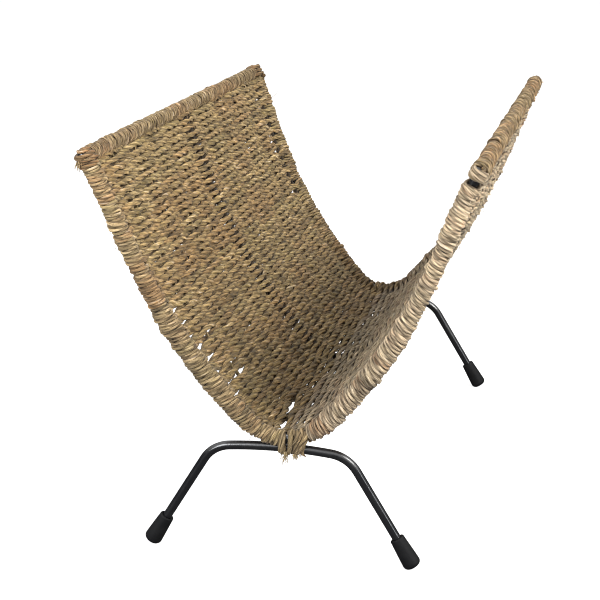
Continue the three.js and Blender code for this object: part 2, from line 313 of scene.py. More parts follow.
def facing_core(points: np.ndarray, path: np.ndarray, core: np.ndarray, depth: float) -> np.ndarray:
    """Finds the parts of a wound cord that face its core and its neighbours, where shade is painted.

    Args:
        points: the cord's vertices, rings x sides x 3.
        path: its axis.
        core: the point of the core's axis beside each ring.
        depth: the height of the cord's top over its axis.

    Returns:
        1 where a vertex is no further from the core than the cord's axis is, and 0 at its top.
    """
    reach = np.linalg.norm(points - core[:, None, :], axis=-1)
    middle = np.linalg.norm(path - core, axis=-1)[:, None]
    return 1 - np.clip((reach - middle) / depth, 0, 1)


class SweptPiece:
    """Gathers swept lengths into one mesh object."""

    def __init__(self, name: str) -> None:
        """Starts an empty piece."""
        self.name = name
        self.sweeps: list[Sweep] = []

    def lay(
        self,
        path: np.ndarray,
        across: np.ndarray,
        cord: Cord,
        rng: np.random.Generator,
        widen: np.ndarray | float = 1.0,
        taper: np.ndarray | float = 1.0,
        twist: np.ndarray | float = 1.0,
        tone: float = 0.5,
        hue: float | None = None,
    ) -> None:
        """Sweeps a cord along a path.

        Args:
            path: the points of its axis, already evenly spaced.
            across: a direction, or one for each point, that the section's width follows.
            cord: the cord to sweep.
            rng: the source of its unevenness.
            widen: how much wider than high the section is, at each point.
            taper: thickness at each point, as a share of the radius.
            twist: how much faster than the cord's lay its strands turn, at each point.
            tone: its brightness, about 0.5.
            hue: its place among the colours of the grass, drawn if not given.
        """
        count = len(path)
        tangent = unit(np.gradient(path, axis=0))
        across = np.broadcast_to(across, path.shape)
        wide = unit(across - np.sum(across * tangent, axis=1, keepdims=True) * tangent)
        high = np.cross(wide, tangent)
        run = np.arange(count) * float(np.linalg.norm(path[1] - path[0]))
        angle, reach = cord.outline()
        turned = np.cumsum(np.broadcast_to(twist, (count,))) * run[1]
        phase = 2 * np.pi * turned / cord.lay + rng.uniform(0, 2 * np.pi)
        turn = angle[None, :] + (phase[:, None] if cord.strand_offset else 0.0)
        length = float(run[-1]) / 2 + 1
        strand_number = np.floor(angle * cord.strands / (2 * np.pi) + 0.5).astype(int) % cord.strands
        thick = [Wander(rng, length, 6.5, cord.unevenness).at(run - length) for _ in range(cord.strands)]
        uneven = 1 + np.stack(thick, axis=1)[:, strand_number]
        size = cord.radius * reach[None, :] * uneven * np.broadcast_to(taper, (count,))[:, None]
        stretch = np.sqrt(np.broadcast_to(widen, (count,)))[:, None]
        points = (
            path[:, None, :]
            + (size * np.cos(turn) / stretch)[..., None] * high[:, None, :]
            + (size * np.sin(turn) * stretch)[..., None] * wide[:, None, :]
        )
        start = rng.uniform(0, 4000)
        strand = np.stack(
            [
                np.broadcast_to(cord.radius * reach * np.cos(angle), (count, len(angle))),
                np.broadcast_to(cord.radius * reach * np.sin(angle), (count, len(angle))),
                np.broadcast_to((run + start)[:, None], (count, len(angle))),
            ],
            axis=-1,
        )
        low, top = reach.min(), reach.max()
        # Painted shade in the grooves between the strands
        depth = (top - reach) / max(top - low, 1e-6) if cord.strand_offset else 0 * reach
        fades = [Wander(rng, length, 7.0, 0.17).at(run - length) + rng.normal(0, 0.06) for _ in thick]
        fade = np.stack(fades, axis=1)[:, strand_number]
        self.sweeps.append(
            Sweep(
                points,
                strand,
                np.broadcast_to(depth, (count, len(angle))),
                tone + fade,
                rng.uniform() if hue is None else hue,
                run,
            )
        )

    def build(self, material: bpy.types.Material, slot: Slot, *replaced: str) -> bpy.types.Object:
        """Makes the mesh object, rides it and dresses it.

        Args:
            material: its material.
            slot: the record's slot that it stands in.
            replaced: the CAD nodes that it stands for.

        Returns:
            The object.
        """
        points, faces, totals, flat, uvs = [], [], [], [], []
        base = 0
        circle = 2 * np.pi * float(np.mean([np.ptp(s.points[0], axis=0).max() / 2 for s in self.sweeps]))
        whole = sum(float(s.run[-1]) for s in self.sweeps) + 1e-6
        strip_length = math.sqrt(circle * whole)
        strips = math.ceil(whole / strip_length) + 1
        covered = 0.0
        for sweep in self.sweeps:
            rings, sides, _ = sweep.points.shape
            points.append(sweep.points.reshape(-1, 3))
            ring = np.arange(rings - 1)[:, None] * sides
            k = np.arange(sides)[None, :]
            after = (k + 1) % sides
            quads = np.stack([ring + k, ring + after, ring + sides + after, ring + sides + k], axis=-1)
            faces.append(quads.reshape(-1) + base)
            faces.append(np.arange(sides)[::-1] + base)
            faces.append(np.arange(sides) + base + (rings - 1) * sides)
            totals += [np.full((rings - 1) * sides, 4), np.array([sides, sides])]
            flat += [np.zeros((rings - 1) * sides, bool), np.array([True, True])]
            # The bake map lays the rings out in strips, one above the other.
            here = (covered + sweep.run) / strip_length
            strip = np.floor(here[:-1])
            left = (here[:-1] - strip)[:, None] * 0.9 + 0 * k
            right = left + (np.diff(here)[:, None] * 0.9)
            low = (strip[:, None] + 0.06 + 0.88 * k / sides) / strips
            high = (strip[:, None] + 0.06 + 0.88 * (k + 1) / sides) / strips
            quad_uv = np.stack(
                [np.stack(p, axis=-1) for p in ((left, low), (left, high), (right, high), (right, low))], axis=2
            )
            uvs.append(quad_uv.reshape(-1, 2))
            spot = 2 * np.pi * np.arange(sides) / sides
            for index in range(2):
                middle = (0.93 + 0.04 * index, (float(strip[0]) + 0.5) / strips)
                uvs.append(
                    np.stack([middle[0] + 0.004 * np.cos(spot), middle[1] + 0.15 / strips * np.sin(spot)], axis=1)
                )
            covered += float(sweep.run[-1])
            base += rings * sides
        obj = new_object(self.name, np.concatenate(points) * MM, np.concatenate(faces), np.concatenate(totals))
        mesh = obj.data
        mesh.attributes.new("sharp_face", "BOOLEAN", "FACE").data.foreach_set("value", np.concatenate(flat))
        layer = mesh.uv_layers.new(name=BAKE_MAP)
        layer.uv.foreach_set("vector", np.concatenate(uvs).astype(np.float32).ravel())
        strand = np.concatenate([s.strand.reshape(-1, 3) for s in self.sweeps])
        attribute = mesh.attributes.new("strand", "FLOAT_VECTOR", "POINT")
        attribute.data.foreach_set("vector", strand.astype(np.float32).ravel())
        tones = [np.broadcast_to(s.tone, s.groove_shade.shape).reshape(-1) for s in self.sweeps]
        put_float(mesh, "tone", np.concatenate(tones))
        put_float(mesh, "groove_shade", np.concatenate([s.groove_shade.reshape(-1) for s in self.sweeps]))
        hues = [np.full(s.groove_shade.size, s.hue) for s in self.sweeps]
        put_float(mesh, "hue", np.concatenate(hues))
        return dress(obj, material, slot, *replaced)


def put_float(mesh: bpy.types.Mesh, name: str, values: np.ndarray) -> None:
    """Stores one number for each vertex under a name."""
    mesh.attributes.new(name, "FLOAT", "POINT").data.foreach_set("value", values.astype(np.float32))


def new_object(name: str, points: np.ndarray, corners: np.ndarray, totals: np.ndarray) -> bpy.types.Object:
    """Makes a smooth mesh object from arrays.

    Args:
        name: its name.
        points: the vertices in metres, one a row.
        corners: the vertex of each face corner, face after face.
        totals: how many corners each face has.

    Returns:
        The object, linked to the scene.
    """
    mesh = bpy.data.meshes.new(name)
    mesh.vertices.add(len(points))
    mesh.vertices.foreach_set("co", points.astype(np.float32).ravel())
    mesh.loops.add(len(corners))
    mesh.loops.foreach_set("vertex_index", corners.astype(np.int32))
    mesh.polygons.add(len(totals))
    starts = np.concatenate([[0], np.cumsum(totals)[:-1]]).astype(np.int32)
    mesh.polygons.foreach_set("loop_start", starts)
    mesh.update(calc_edges=True)
    mesh.validate()
    obj = bpy.data.objects.new(name, mesh)
    bpy.context.scene.collection.objects.link(obj)
    return obj


def dress(obj: bpy.types.Object, material: bpy.types.Material, slot: Slot, *replaced: str) -> bpy.types.Object:
    """Gives an object its material and its body, and hides the CAD nodes that it stands for.

    Args:
        obj: the object.
        material: its material.
        slot: the record's slot that it stands in; not used.
        replaced: the CAD nodes that it stands for.

    Returns:
        The same object.
    """
    obj.data.materials.append(material)
    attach(obj, BODY)
    if replaced:
        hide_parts(*replaced)
    LOG.info("%s: %d faces, for %s", obj.name, len(obj.data.polygons), ", ".join(replaced) or "nothing")
    return obj


# ---- Shader node groups and finishes ----
class NodeSheet:
    """Adds nodes to a node tree, with their inputs set or linked by name."""

    def __init__(self, tree: bpy.types.NodeTree) -> None:
        """Takes the tree to add to."""
        self.tree = tree

    def add(self, kind: str, inputs: dict[str | int, Any] | None = None, **settings: Any) -> bpy.types.Node:
        """Adds one node.

        Args:
            kind: the node's type.
            inputs: for each input, a value or the socket that feeds it.
            settings: the node's own properties.

        Returns:
            The node.
        """
        node = self.tree.nodes.new(kind)
        for key, value in settings.items():
            setattr(node, key, value)
        self.feed(node, inputs or {})
        return node

    def feed(self, node: bpy.types.Node, inputs: dict[str | int, Any]) -> None:
        """Sets or links a node's inputs.

        Args:
            node: the node.
            inputs: for each input, a value or the socket that feeds it.
        """
        for key, value in inputs.items():
            if isinstance(value, bpy.types.NodeSocket):
                self.tree.links.new(value, node.inputs[key])
            else:
                node.inputs[key].default_value = value

    def math(self, operation: str, *values: Any, clamp: bool = False) -> bpy.types.NodeSocket:
        """Adds a Math node and gives its result."""
        node = self.add("ShaderNodeMath", dict(enumerate(values)), operation=operation, use_clamp=clamp)
        return node.outputs[0]

    def mix(self, share: Any, first: Any, second: Any, blend: str = "MIX") -> bpy.types.NodeSocket:
        """Mixes two colours.

        Args:
            share: the share of the second colour, a value or a socket.
            first: the first colour.
            second: the second colour.
            blend: how they are mixed.

        Returns:
            The socket with the mixed colour.
        """
        node = self.add("ShaderNodeMix", None, data_type="RGBA", blend_type=blend)
        self.feed(node, {0: share, 6: first, 7: second})
        return node.outputs[2]

    def between(self, value: Any, low: float, high: float, to_low: float = 0.0, to_high: float = 1.0) -> Any:
        """Maps a range of values to another, smoothly and clamped.

        Args:
            value: the socket to map.
            low: the value that becomes to_low.
            high: the value that becomes to_high.
            to_low: where the new range starts.
            to_high: where it ends.

        Returns:
            The socket with the mapped value.
        """
        keys = ("Value", "From Min", "From Max", "To Min", "To Max")
        inputs = dict(zip(keys, (value, low, high, to_low, to_high)))
        return self.add("ShaderNodeMapRange", inputs, interpolation_type="SMOOTHSTEP").outputs["Result"]

    def attribute(self, name: str) -> bpy.types.Node:
        """Adds a node that reads a mesh attribute."""
        return self.add("ShaderNodeAttribute", attribute_name=name)


def new_group(name: str, inputs: dict[str, tuple[str, Any]], outputs: list[str]) -> tuple[NodeSheet, Any, Any]:
    """Starts a shader node group.

    Args:
        name: the group's name.
        inputs: for each named input, its socket type and starting value.
        outputs: the names of its outputs, all values.

    Returns:
        The sheet to add nodes to, the group's input node and its output node.
    """
    tree = bpy.data.node_groups.new(name, "ShaderNodeTree")
    for label, (kind, value) in inputs.items():
        socket = tree.interface.new_socket(name=label, in_out="INPUT", socket_type=f"NodeSocket{kind}")
        if value is not None:
            socket.default_value = value
    for label in outputs:
        tree.interface.new_socket(name=label, in_out="OUTPUT", socket_type="NodeSocketFloat")
    return NodeSheet(tree), tree.nodes.new("NodeGroupInput"), tree.nodes.new("NodeGroupOutput")


def strand_grain_group() -> bpy.types.NodeTree:
    """Builds the group for grass blades and fibres that run along a strand.

    Returns:
        A group that takes the strand's coordinates, and gives Blade, the change from one blade of
        grass to the next, and Fibre, the fine streaks inside a blade.
    """
    inputs = {
        "Strand": ("Vector", None),
        "Blades": ("Float", 1.1),
        "Fibres": ("Float", 5.0),
    }
    sheet, given, result = new_group("strand_grain", inputs, ["Blade", "Fibre"])
    for key, label, stretch, detail in (("Blade", "Blades", 0.07, 2.0), ("Fibre", "Fibres", 0.14, 3.5)):
        scale = sheet.add("ShaderNodeCombineXYZ", {0: given.outputs[label], 1: given.outputs[label], 2: stretch})
        factors = {0: given.outputs["Strand"], 1: scale.outputs[0]}
        place = sheet.add("ShaderNodeVectorMath", factors, operation="MULTIPLY").outputs[0]
        noise_inputs = {"Vector": place, "Scale": 1.0, "Detail": detail, "Roughness": 0.6}
        noise = sheet.add("ShaderNodeTexNoise", noise_inputs)
        even = sheet.between(noise.outputs["Fac"], 0.3, 0.7)
        sheet.tree.links.new(even, result.inputs[key])
    return sheet.tree


def patches_group() -> bpy.types.NodeTree:
    """Builds the group for soft patches and fine specks that don't follow the strands.

    Returns:
        A group that takes a position and the sizes, and gives Patch and Speck.
    """
    inputs = {
        "Position": ("Vector", None),
        "Patch Scale": ("Float", 18.0),
        "Speck Scale": ("Float", 900.0),
    }
    sheet, given, result = new_group("patches", inputs, ["Patch", "Speck"])
    for key, detail, low, high in (("Patch", 3.0, 0.35, 0.65), ("Speck", 2.0, 0.45, 0.75)):
        scale = given.outputs[f"{key} Scale"]
        noise = sheet.add("ShaderNodeTexNoise", {"Vector": given.outputs["Position"], "Scale": scale, "Detail": detail})
        sheet.tree.links.new(sheet.between(noise.outputs["Fac"], low, high), result.inputs[key])
    return sheet.tree


@dataclass
class Groups:
    """The shared shader node groups, built once."""

    strand_grain: bpy.types.NodeTree = field(default_factory=strand_grain_group)
    patches: bpy.types.NodeTree = field(default_factory=patches_group)


Colour = tuple[float, float, float, float]


def new_material(name: str) -> tuple[bpy.types.Material, NodeSheet, bpy.types.Node]:
    """Starts a material.

    Args:
        name: its name.

    Returns:
        The material, the sheet to add nodes to, and its Principled shader.
    """
    material = bpy.data.materials.new(name)
    material.use_nodes = True
    sheet = NodeSheet(material.node_tree)
    return material, sheet, material.node_tree.nodes["Principled BSDF"]


def place_patches(sheet: NodeSheet, groups: Groups, patch_scale: float, speck_scale: float) -> tuple[Any, Any, Any]:
    """Places the patches group in a material.

    Args:
        sheet: the material's nodes.
        groups: the shared node groups.
        patch_scale: how fine the patches are.
        speck_scale: how fine the specks are.

    Returns:
        The sockets of the position on the object, of the patches and of the specks.
    """
    place = sheet.add("ShaderNodeTexCoord").outputs["Object"]
    inputs = {"Position": place, "Patch Scale": patch_scale, "Speck Scale": speck_scale}
    node = sheet.add("ShaderNodeGroup", None, node_tree=groups.patches)
    sheet.feed(node, inputs)
    return place, node.outputs["Patch"], node.outputs["Speck"]


@dataclass(frozen=True)
class SeagrassFinish:
    """Twisted seagrass: khaki blades with straw, olive and rusty ones among them, with painted shade in its grooves and
    crevices and towards the bottom.
    """

    name: str
    khaki: Colour = (0.41, 0.274, 0.106, 1)
    straw: Colour = (0.74, 0.55, 0.275, 1)
    olive: Colour = (0.30, 0.25, 0.092, 1)
    rust: Colour = (0.43, 0.20, 0.068, 1)
    pale: Colour = (0.74, 0.66, 0.54, 1)
    # The colour of the painted shade in the grooves and crevices
    shade: Colour = (0.046, 0.027, 0.012, 1)
    rust_share: float = 0.35
    olive_share: float = 0.35
    pale_share: float = 0.55
    low_tone: float = 0.74  # brightness of the grass near the bottom, darkened as painted shade
    groove_depth: float = 0.9
    blade_scale: float = 1.0  # across the strands, with the next one
    fibre_scale: float = 2.6
    patch_scale: float = 16.0
    speck_scale: float = 700.0
    roughness: float = 0.62
    bump: float = 0.35

    def material(self, groups: Groups) -> bpy.types.Material:
        """Builds the finish.

        Args:
            groups: the shared node groups.

        Returns:
            The material.
        """
        material, sheet, shader = new_material(self.name)
        links = material.node_tree.links
        strand = sheet.attribute("strand").outputs["Vector"]
        tone, groove_shade, hue = (sheet.attribute(name).outputs["Fac"] for name in ("tone", "groove_shade", "hue"))
        grain = sheet.add("ShaderNodeGroup", None, node_tree=groups.strand_grain)
        sheet.feed(grain, {"Strand": strand, "Blades": self.blade_scale, "Fibres": self.fibre_scale})
        place, patch, speck = place_patches(sheet, groups, self.patch_scale, self.speck_scale)
        blade, fibre = grain.outputs["Blade"], grain.outputs["Fibre"]
        # Where a cord stands among the grass's colours shifts with its blades and with the patch.
        drift = sheet.math("ADD", hue, sheet.math("MULTIPLY_ADD", patch, 0.5, -0.25))
        drift = sheet.math("ADD", drift, sheet.math("MULTIPLY_ADD", blade, 0.7, -0.35))
        olive = sheet.math("MULTIPLY", sheet.between(drift, 0.42, 0.05), self.olive_share)
        rust = sheet.math("MULTIPLY", sheet.between(drift, 0.62, 1.05), self.rust_share)
        colour = sheet.mix(sheet.math("MULTIPLY", blade, fibre), self.khaki, self.straw)
        colour = sheet.mix(olive, colour, self.olive)
        colour = sheet.mix(rust, colour, self.rust)
        paler = sheet.math("MULTIPLY", sheet.between(blade, 0.72, 1.0), sheet.between(tone, 0.55, 0.8))
        colour = sheet.mix(sheet.math("MULTIPLY", paler, self.pale_share), colour, self.pale)
        lightness = sheet.math("MULTIPLY_ADD", fibre, 0.85, 0.33)
        lightness = sheet.math("MULTIPLY", lightness, sheet.math("MULTIPLY_ADD", tone, 1.5, 0.35))
        # Darker towards the bottom: painted shade
        height = sheet.add("ShaderNodeSeparateXYZ", {0: place}).outputs[2]
        lightness = sheet.math("MULTIPLY", lightness, sheet.between(height, 0.09, 0.24, self.low_tone, 1.0))
        lightness = sheet.add("ShaderNodeCombineColor", {0: lightness, 1: lightness, 2: lightness}).outputs[0]
        colour = sheet.mix(1.0, colour, lightness, "MULTIPLY")
        # Painted shade in the grooves between the strands and the crevices between cords
        dark = sheet.math("MULTIPLY", sheet.math("POWER", groove_shade, 1.2), self.groove_depth)
        colour = sheet.mix(dark, colour, self.shade)
        links.new(colour, shader.inputs["Base Color"])
        rough = sheet.math("MULTIPLY_ADD", fibre, -0.18, self.roughness + 0.12)
        links.new(rough, shader.inputs["Roughness"])
        relief = sheet.math("MULTIPLY_ADD", fibre, 0.7, sheet.math("MULTIPLY", speck, 0.3))
        bump = sheet.add("ShaderNodeBump", {"Height": relief, "Strength": self.bump, "Distance": 0.0004})
        links.new(bump.outputs[0], shader.inputs["Normal"])
        shader.inputs["Specular IOR Level"].default_value = 0.3
        shader.inputs["Sheen Weight"].default_value = 0.12
        shader.inputs["Sheen Roughness"].default_value = 0.5
        return material


@dataclass(frozen=True)
class PaintFinish:
    """Satin black powder coat on steel, with its fine orange peel and some dust."""

    name: str
    black: Colour = (0.0075, 0.0079, 0.0095, 1)
    dust: Colour = (0.030, 0.029, 0.028, 1)
    roughness: float = 0.2
    peel_scale: float = 420.0
    patch_scale: float = 45.0
    speck_scale: float = 1500.0
    bump: float = 0.10

    def material(self, groups: Groups) -> bpy.types.Material:
        """Builds the finish.

        Args:
            groups: the shared node groups.

        Returns:
            The material.
        """
        material, sheet, shader = new_material(self.name)
        links = material.node_tree.links
        place, patch, speck = place_patches(sheet, groups, self.patch_scale, self.speck_scale)
        peel_inputs = {"Vector": place, "Scale": self.peel_scale, "Detail": 2.0}
        peel = sheet.add("ShaderNodeTexNoise", peel_inputs).outputs["Fac"]
        dusty = sheet.math("MULTIPLY", patch, speck)
        links.new(sheet.mix(sheet.math("MULTIPLY", dusty, 0.3), self.black, self.dust), shader.inputs["Base Color"])
        rough = sheet.math("MULTIPLY_ADD", patch, 0.12, self.roughness)
        links.new(rough, shader.inputs["Roughness"])
        bump = sheet.add("ShaderNodeBump", {"Height": peel, "Strength": self.bump, "Distance": 0.0006})
        links.new(bump.outputs[0], shader.inputs["Normal"])
        shader.inputs["Specular IOR Level"].default_value = 1.0
        return material


@dataclass(frozen=True)
class RubberFinish:
    """Matte black rubber, greyer where it is scuffed."""

    name: str
    black: Colour = (0.0060, 0.0062, 0.0070, 1)
    scuff: Colour = (0.026, 0.025, 0.025, 1)
    scuffed_height: float = 0.004  # metres over the ground
    patch_scale: float = 130.0
    speck_scale: float = 1900.0
    roughness: float = 0.62

    def material(self, groups: Groups) -> bpy.types.Material:
        """Builds the finish.

        Args:
            groups: the shared node groups.

        Returns:
            The material.
        """
        material, sheet, shader = new_material(self.name)
        links = material.node_tree.links
        place, patch, speck = place_patches(sheet, groups, self.patch_scale, self.speck_scale)
        height = sheet.add("ShaderNodeSeparateXYZ", {0: place}).outputs[2]
        worn = sheet.math("MULTIPLY", sheet.between(height, self.scuffed_height, 0.0), 0.6)
        worn = sheet.math("MAXIMUM", worn, sheet.math("MULTIPLY", patch, 0.3))
        worn = sheet.math("MULTIPLY", worn, sheet.math("MULTIPLY_ADD", speck, 0.7, 0.3))
        links.new(sheet.mix(worn, self.black, self.scuff), shader.inputs["Base Color"])
        rough = sheet.math("MULTIPLY_ADD", worn, 0.25, self.roughness)
        links.new(rough, shader.inputs["Roughness"])
        bump = sheet.add("ShaderNodeBump", {"Height": speck, "Strength": 0.18, "Distance": 0.0003})
        links.new(bump.outputs[0], shader.inputs["Normal"])
        shader.inputs["Specular IOR Level"].default_value = 0.2
        return material


@dataclass(frozen=True)
class FloorFinish:
    """The studio's plain white floor."""

    name: str = "studio_floor"
    white: Colour = (0.5, 0.5, 0.5, 1)
    mirrored: Colour = (0.06, 0.06, 0.06, 1)  # as the black paint mirrors it
    glow: float = 0.8  # to the camera only, so that the floor stays plain

    def material(self) -> bpy.types.Material:
        """Builds the finish.

        Returns:
            The material.
        """
        material, sheet, shader = new_material(self.name)
        noise = sheet.add("ShaderNodeTexNoise", {"Scale": 3.0}).outputs["Fac"]
        rough = sheet.math("MULTIPLY_ADD", noise, 0.1, 0.75)
        material.node_tree.links.new(rough, shader.inputs["Roughness"])
        shader.inputs["Specular IOR Level"].default_value = 0.1
        shader.inputs["Emission Color"].default_value = (1, 1, 1, 1)
        rays = sheet.add("ShaderNodeLightPath")
        links = material.node_tree.links
        links.new(sheet.mix(rays.outputs["Is Glossy Ray"], self.white, self.mirrored), shader.inputs["Base Color"])
        links.new(sheet.math("MULTIPLY", rays.outputs["Is Camera Ray"], self.glow), shader.inputs["Emission Strength"])
        return material


@dataclass
class Finishes:
    """The materials of the rack, built once."""

    groups: Groups = field(default_factory=Groups)

    def __post_init__(self) -> None:
        """Builds every material."""
        self.steel = PaintFinish("black_powder_coat").material(self.groups)
        self.weld = PaintFinish("painted_weld", roughness=0.42, peel_scale=900.0, bump=0.35).material(self.groups)
        self.rubber = RubberFinish("black_rubber").material(self.groups)
        # The right side's weft is a paler copy of the left side's: painted light for the light on that side
        paler = SeagrassFinish(
            "seagrass_weft_dry",
            khaki=(0.56, 0.425, 0.255, 1),
            straw=(0.85, 0.71, 0.50, 1),
            olive_share=0.2,
            pale_share=0.65,
        )
        self.weft = {
            Side.LEFT: SeagrassFinish("seagrass_weft").material(self.groups),
            Side.RIGHT: paler.material(self.groups),
        }
        plain_binding = SeagrassFinish(
            "seagrass_binding", khaki=(0.45, 0.315, 0.15, 1), straw=(0.76, 0.58, 0.33, 1), rust_share=0.5
        )
        # A paler copy for the right hoop's binding: painted light
        lit_binding = SeagrassFinish(
            "seagrass_binding_dry",
            khaki=(0.76, 0.575, 0.365, 1),
            straw=(0.93, 0.77, 0.55, 1),
            low_tone=0.7,
            rust_share=0.7,
            olive_share=0.15,
            pale_share=0.6,
        )
        self.hoop = {Side.LEFT: plain_binding.material(self.groups), Side.RIGHT: lit_binding.material(self.groups)}
        self.corner = SeagrassFinish(
            "seagrass_corner", khaki=(0.33, 0.205, 0.09, 1), straw=(0.52, 0.37, 0.2, 1), rust_share=0.8
        ).material(self.groups)
        # Darker than the weft, as painted shade that offsets the light falling on the rails' tops
        self.rail = SeagrassFinish(
            "seagrass_rail_binding",
            khaki=(0.33, 0.222, 0.105, 1),
            straw=(0.60, 0.45, 0.255, 1),
            rust_share=0.6,
            olive_share=0.3,
        ).material(self.groups)
        self.warp = SeagrassFinish(
            "seagrass_warp", khaki=(0.20, 0.135, 0.065, 1), olive_share=0.5
        ).material(self.groups)
        # Near black: painted shade in the hollows where the rows dive under the middle warp, and in the slits beside
        # two of the hoops
        self.middle_warp = SeagrassFinish(
            "seagrass_middle_warp",
            khaki=(0.035, 0.024, 0.014, 1),
            straw=(0.07, 0.05, 0.03, 1),
            rust_share=0,
            olive_share=0,
        ).material(self.groups)


# ---- The weave ----
@dataclass(frozen=True)
class LoosePlace:
    """A place where two rows stand apart, so that the weave has a slit."""

    s: float
    y: float
    reach: float  # half of its length along the rows
    opening: float  # how far each of the two rows moves


def warp_shares(count: int, middle_shift: float) -> np.ndarray:
    """Places the warps along the trough.

    Args:
        count: how many warps there are.
        middle_shift: how far the middle one stands off the middle.

    Returns:
        The places as shares of the half length, with the hoops at -1 and 1.
    """
    even = np.linspace(-1, 1, count + 2)
    return even + middle_shift * np.exp(-((even / 0.25) ** 2))


@dataclass
class Weave:
    """The rows of weft, their turns round the hoops and the lashings to the leg frames."""

    finishes: Finishes
    rows: int = 175
    pitch: float = 2.82
    warps: int = WARP_COUNT
    middle_shift: float = MIDDLE_WARP_SHIFT
    cord: Cord = Cord(radius=2.05, unevenness=0.16)
    rod_radius: float = ROD_RADIUS
    hoop_clearance: float = 1.3  # of a row's axis over the hoop's rod
    rise: float = 1.5  # of a row over a warp
    middle_rise: float = 2.7
    bar_height: float = BAR_HEIGHT
    bands_per_side: int = 5
    turn_reach: float = 9.0  # from the hoop's axis, where a row becomes a turn
    woven_depth: float = 2.2  # over which a row's painted shade fades from a crevice to the open
    wound_depth: float = 1.9  # the same, for the turns round a hoop
    remembered: int = 40  # points of a row's surface, where fibres may stand
    seed: int = 4107

    def __post_init__(self) -> None:
        """Draws what the rows share."""
        self.rng = np.random.default_rng(self.seed)
        self.middle = (self.rows - 1) // 2
        self.hoop_lift = self.rod_radius + self.hoop_clearance
        self.shares = warp_shares(self.warps, self.middle_shift)
        reach = self.middle * self.pitch
        draw = self.rng.uniform
        # Each wave's size, how often it repeats along s and y, and where it starts
        self.waves = [(draw(0.1, 0.3), draw(-1, 1) / 90, draw(-1, 1) / 120, draw(0, 6.3)) for _ in range(6)]
        self.own = [Wander(self.rng, 240.0, 17.0, 0.19) for _ in range(self.rows)]
        self.loose = self.loose_places()
        self.lash = {End.FRONT: (-8.0, 19.0), End.REAR: (-15.0, 15.0)}
        self.ends = {end: np.array([self.end_place(i, end) for i in range(self.rows)]) for end in End}
        self.surface: list[np.ndarray] = []
        assert reach < TROUGH.half_profile

    def loose_places(self) -> list[LoosePlace]:
        """Lists where the weave has slits: a run of them near the front of the left side, and some more."""
        places = []
        draw = self.rng.uniform
        # The run near the front hoop, low on the left side
        for s in np.arange(-122.0, -38.0, 10.6):
            y = self.beside_hoop(s, End.FRONT, draw(12.5, 17.0))
            places.append(LoosePlace(s + draw(-1, 1), y, 11.0, draw(2.2, 3.0)))
        # Single ones further in: s, the distance from the hoop, and the opening
        for s, inwards, opening in ((-95, 43, 2.1), (-66, 42, 2.4), (-58, 46, 2.3), (-10, 62, 2.6), (-8, 24, 2.4)):
            places.append(LoosePlace(s, self.beside_hoop(s, End.FRONT, inwards), 13.0, opening))
        # The run near the rear hoop, high on the left side
        for s in np.arange(-232.0, -125.0, 8.5):
            y = self.beside_hoop(s, End.REAR, draw(13, 19))
            places.append(LoosePlace(s + draw(-1.5, 1.5), y, 9.0, draw(2.8, 3.8)))
        # The run near the front hoop, high on the right side
        for s in np.arange(140.0, 236.0, 9.0):
            y = self.beside_hoop(s, End.FRONT, draw(18, 26))
            places.append(LoosePlace(s, y, 9.0, draw(2.4, 3.6)))
        # At the lashing, and at the corner, where the hoop's rod shows
        high = self.beside_hoop(238.0, End.FRONT, 0.0)
        return places + [LoosePlace(2.0, -TROUGH.length / 2, 8.0, 2.8), LoosePlace(242.5, high, 7.0, 8.0)]

    @staticmethod
    def beside_hoop(s: float, end: End, inwards: float) -> float:
        """Finds a place beside a hoop.

        Args:
            s: the distance along the profile.
            end: which hoop.
            inwards: how far the place is from the hoop's axis.

        Returns:
            Its y.
        """
        z = TROUGH.at(np.array(float(s)))[1]
        return end.value * (float(TROUGH.half_length(z)) - inwards)

    def shift(self, i: int, y: np.ndarray) -> np.ndarray:
        """Finds how far a row stands off its even place.

        Args:
            i: the row's number, from the left.
            y: places along the trough.

        Returns:
            The distance along the profile, at each y.
        """
        s = (i - self.middle) * self.pitch
        ends = ease((215.0 - np.abs(y)) / 20)
        moved = sum(size * np.sin(s * a * 2 * np.pi + y * b * 2 * np.pi + c) for size, a, b, c in self.waves)
        moved = moved * ease((TROUGH.half_profile - abs(s)) / 40) + self.own[i].at(y)
        for place in self.loose:
            away = s - place.s
            if abs(away) < 18:
                window = np.exp(-(((y - place.y) / place.reach) ** 2))
                side = 1.0 if away > 0 else -1.0
                moved = moved + place.opening * side * math.exp(-abs(away) / 5.0) * window * (0.35 + 0.65 * ends)
        return moved

    def end_place(self, i: int, end: End) -> float:
        """Finds where a row meets a hoop.

        Args:
            i: the row's number, from the left.
            end: which hoop.

        Returns:
            The distance along the profile.
        """
        s = (i - self.middle) * self.pitch
        half = float(TROUGH.half_length(TROUGH.at(np.array(s))[1]))
        return s + float(self.shift(i, np.array([end.value * half]))[0])

    def lift(self, i: int, u: np.ndarray) -> np.ndarray:
        """Finds how a row goes over and under the warps.

        Args:
            i: the row's number, from the left.
            u: places counted in warps: 0 at the front hoop and warps + 1 at the rear one.

        Returns:
            The row's lift at each place.
        """
        last = self.warps + 1
        sizes = self.rise + self.rng.uniform(-0.3, 0.3, last + 1)
        sizes[last // 2] = self.middle_rise
        sizes[0] = sizes[last] = self.hoop_lift
        size = np.interp(u, np.arange(last + 1), sizes)
        # The turn round a hoop sets the lift only close to the hoop.
        for near, own in ((u, 0), (last - u, last)):
            inner = sizes[1] if own == 0 else sizes[last - 1]
            size = np.where(near < 1, inner + (self.hoop_lift - inner) * (1 - np.clip(near, 0, 1)) ** 3, size)
        return (1 if i % 2 == 0 else -1) * size * np.cos(np.pi * u)

    @staticmethod
    def belly(s: np.ndarray, y: np.ndarray) -> np.ndarray:
        """How far the upper right side bellies outwards between the hoops."""
        return 5.0 * ease((s - 130) / 60) * ease((TROUGH.half_profile - s) / 30) * ease((190 - np.abs(y)) / 90)

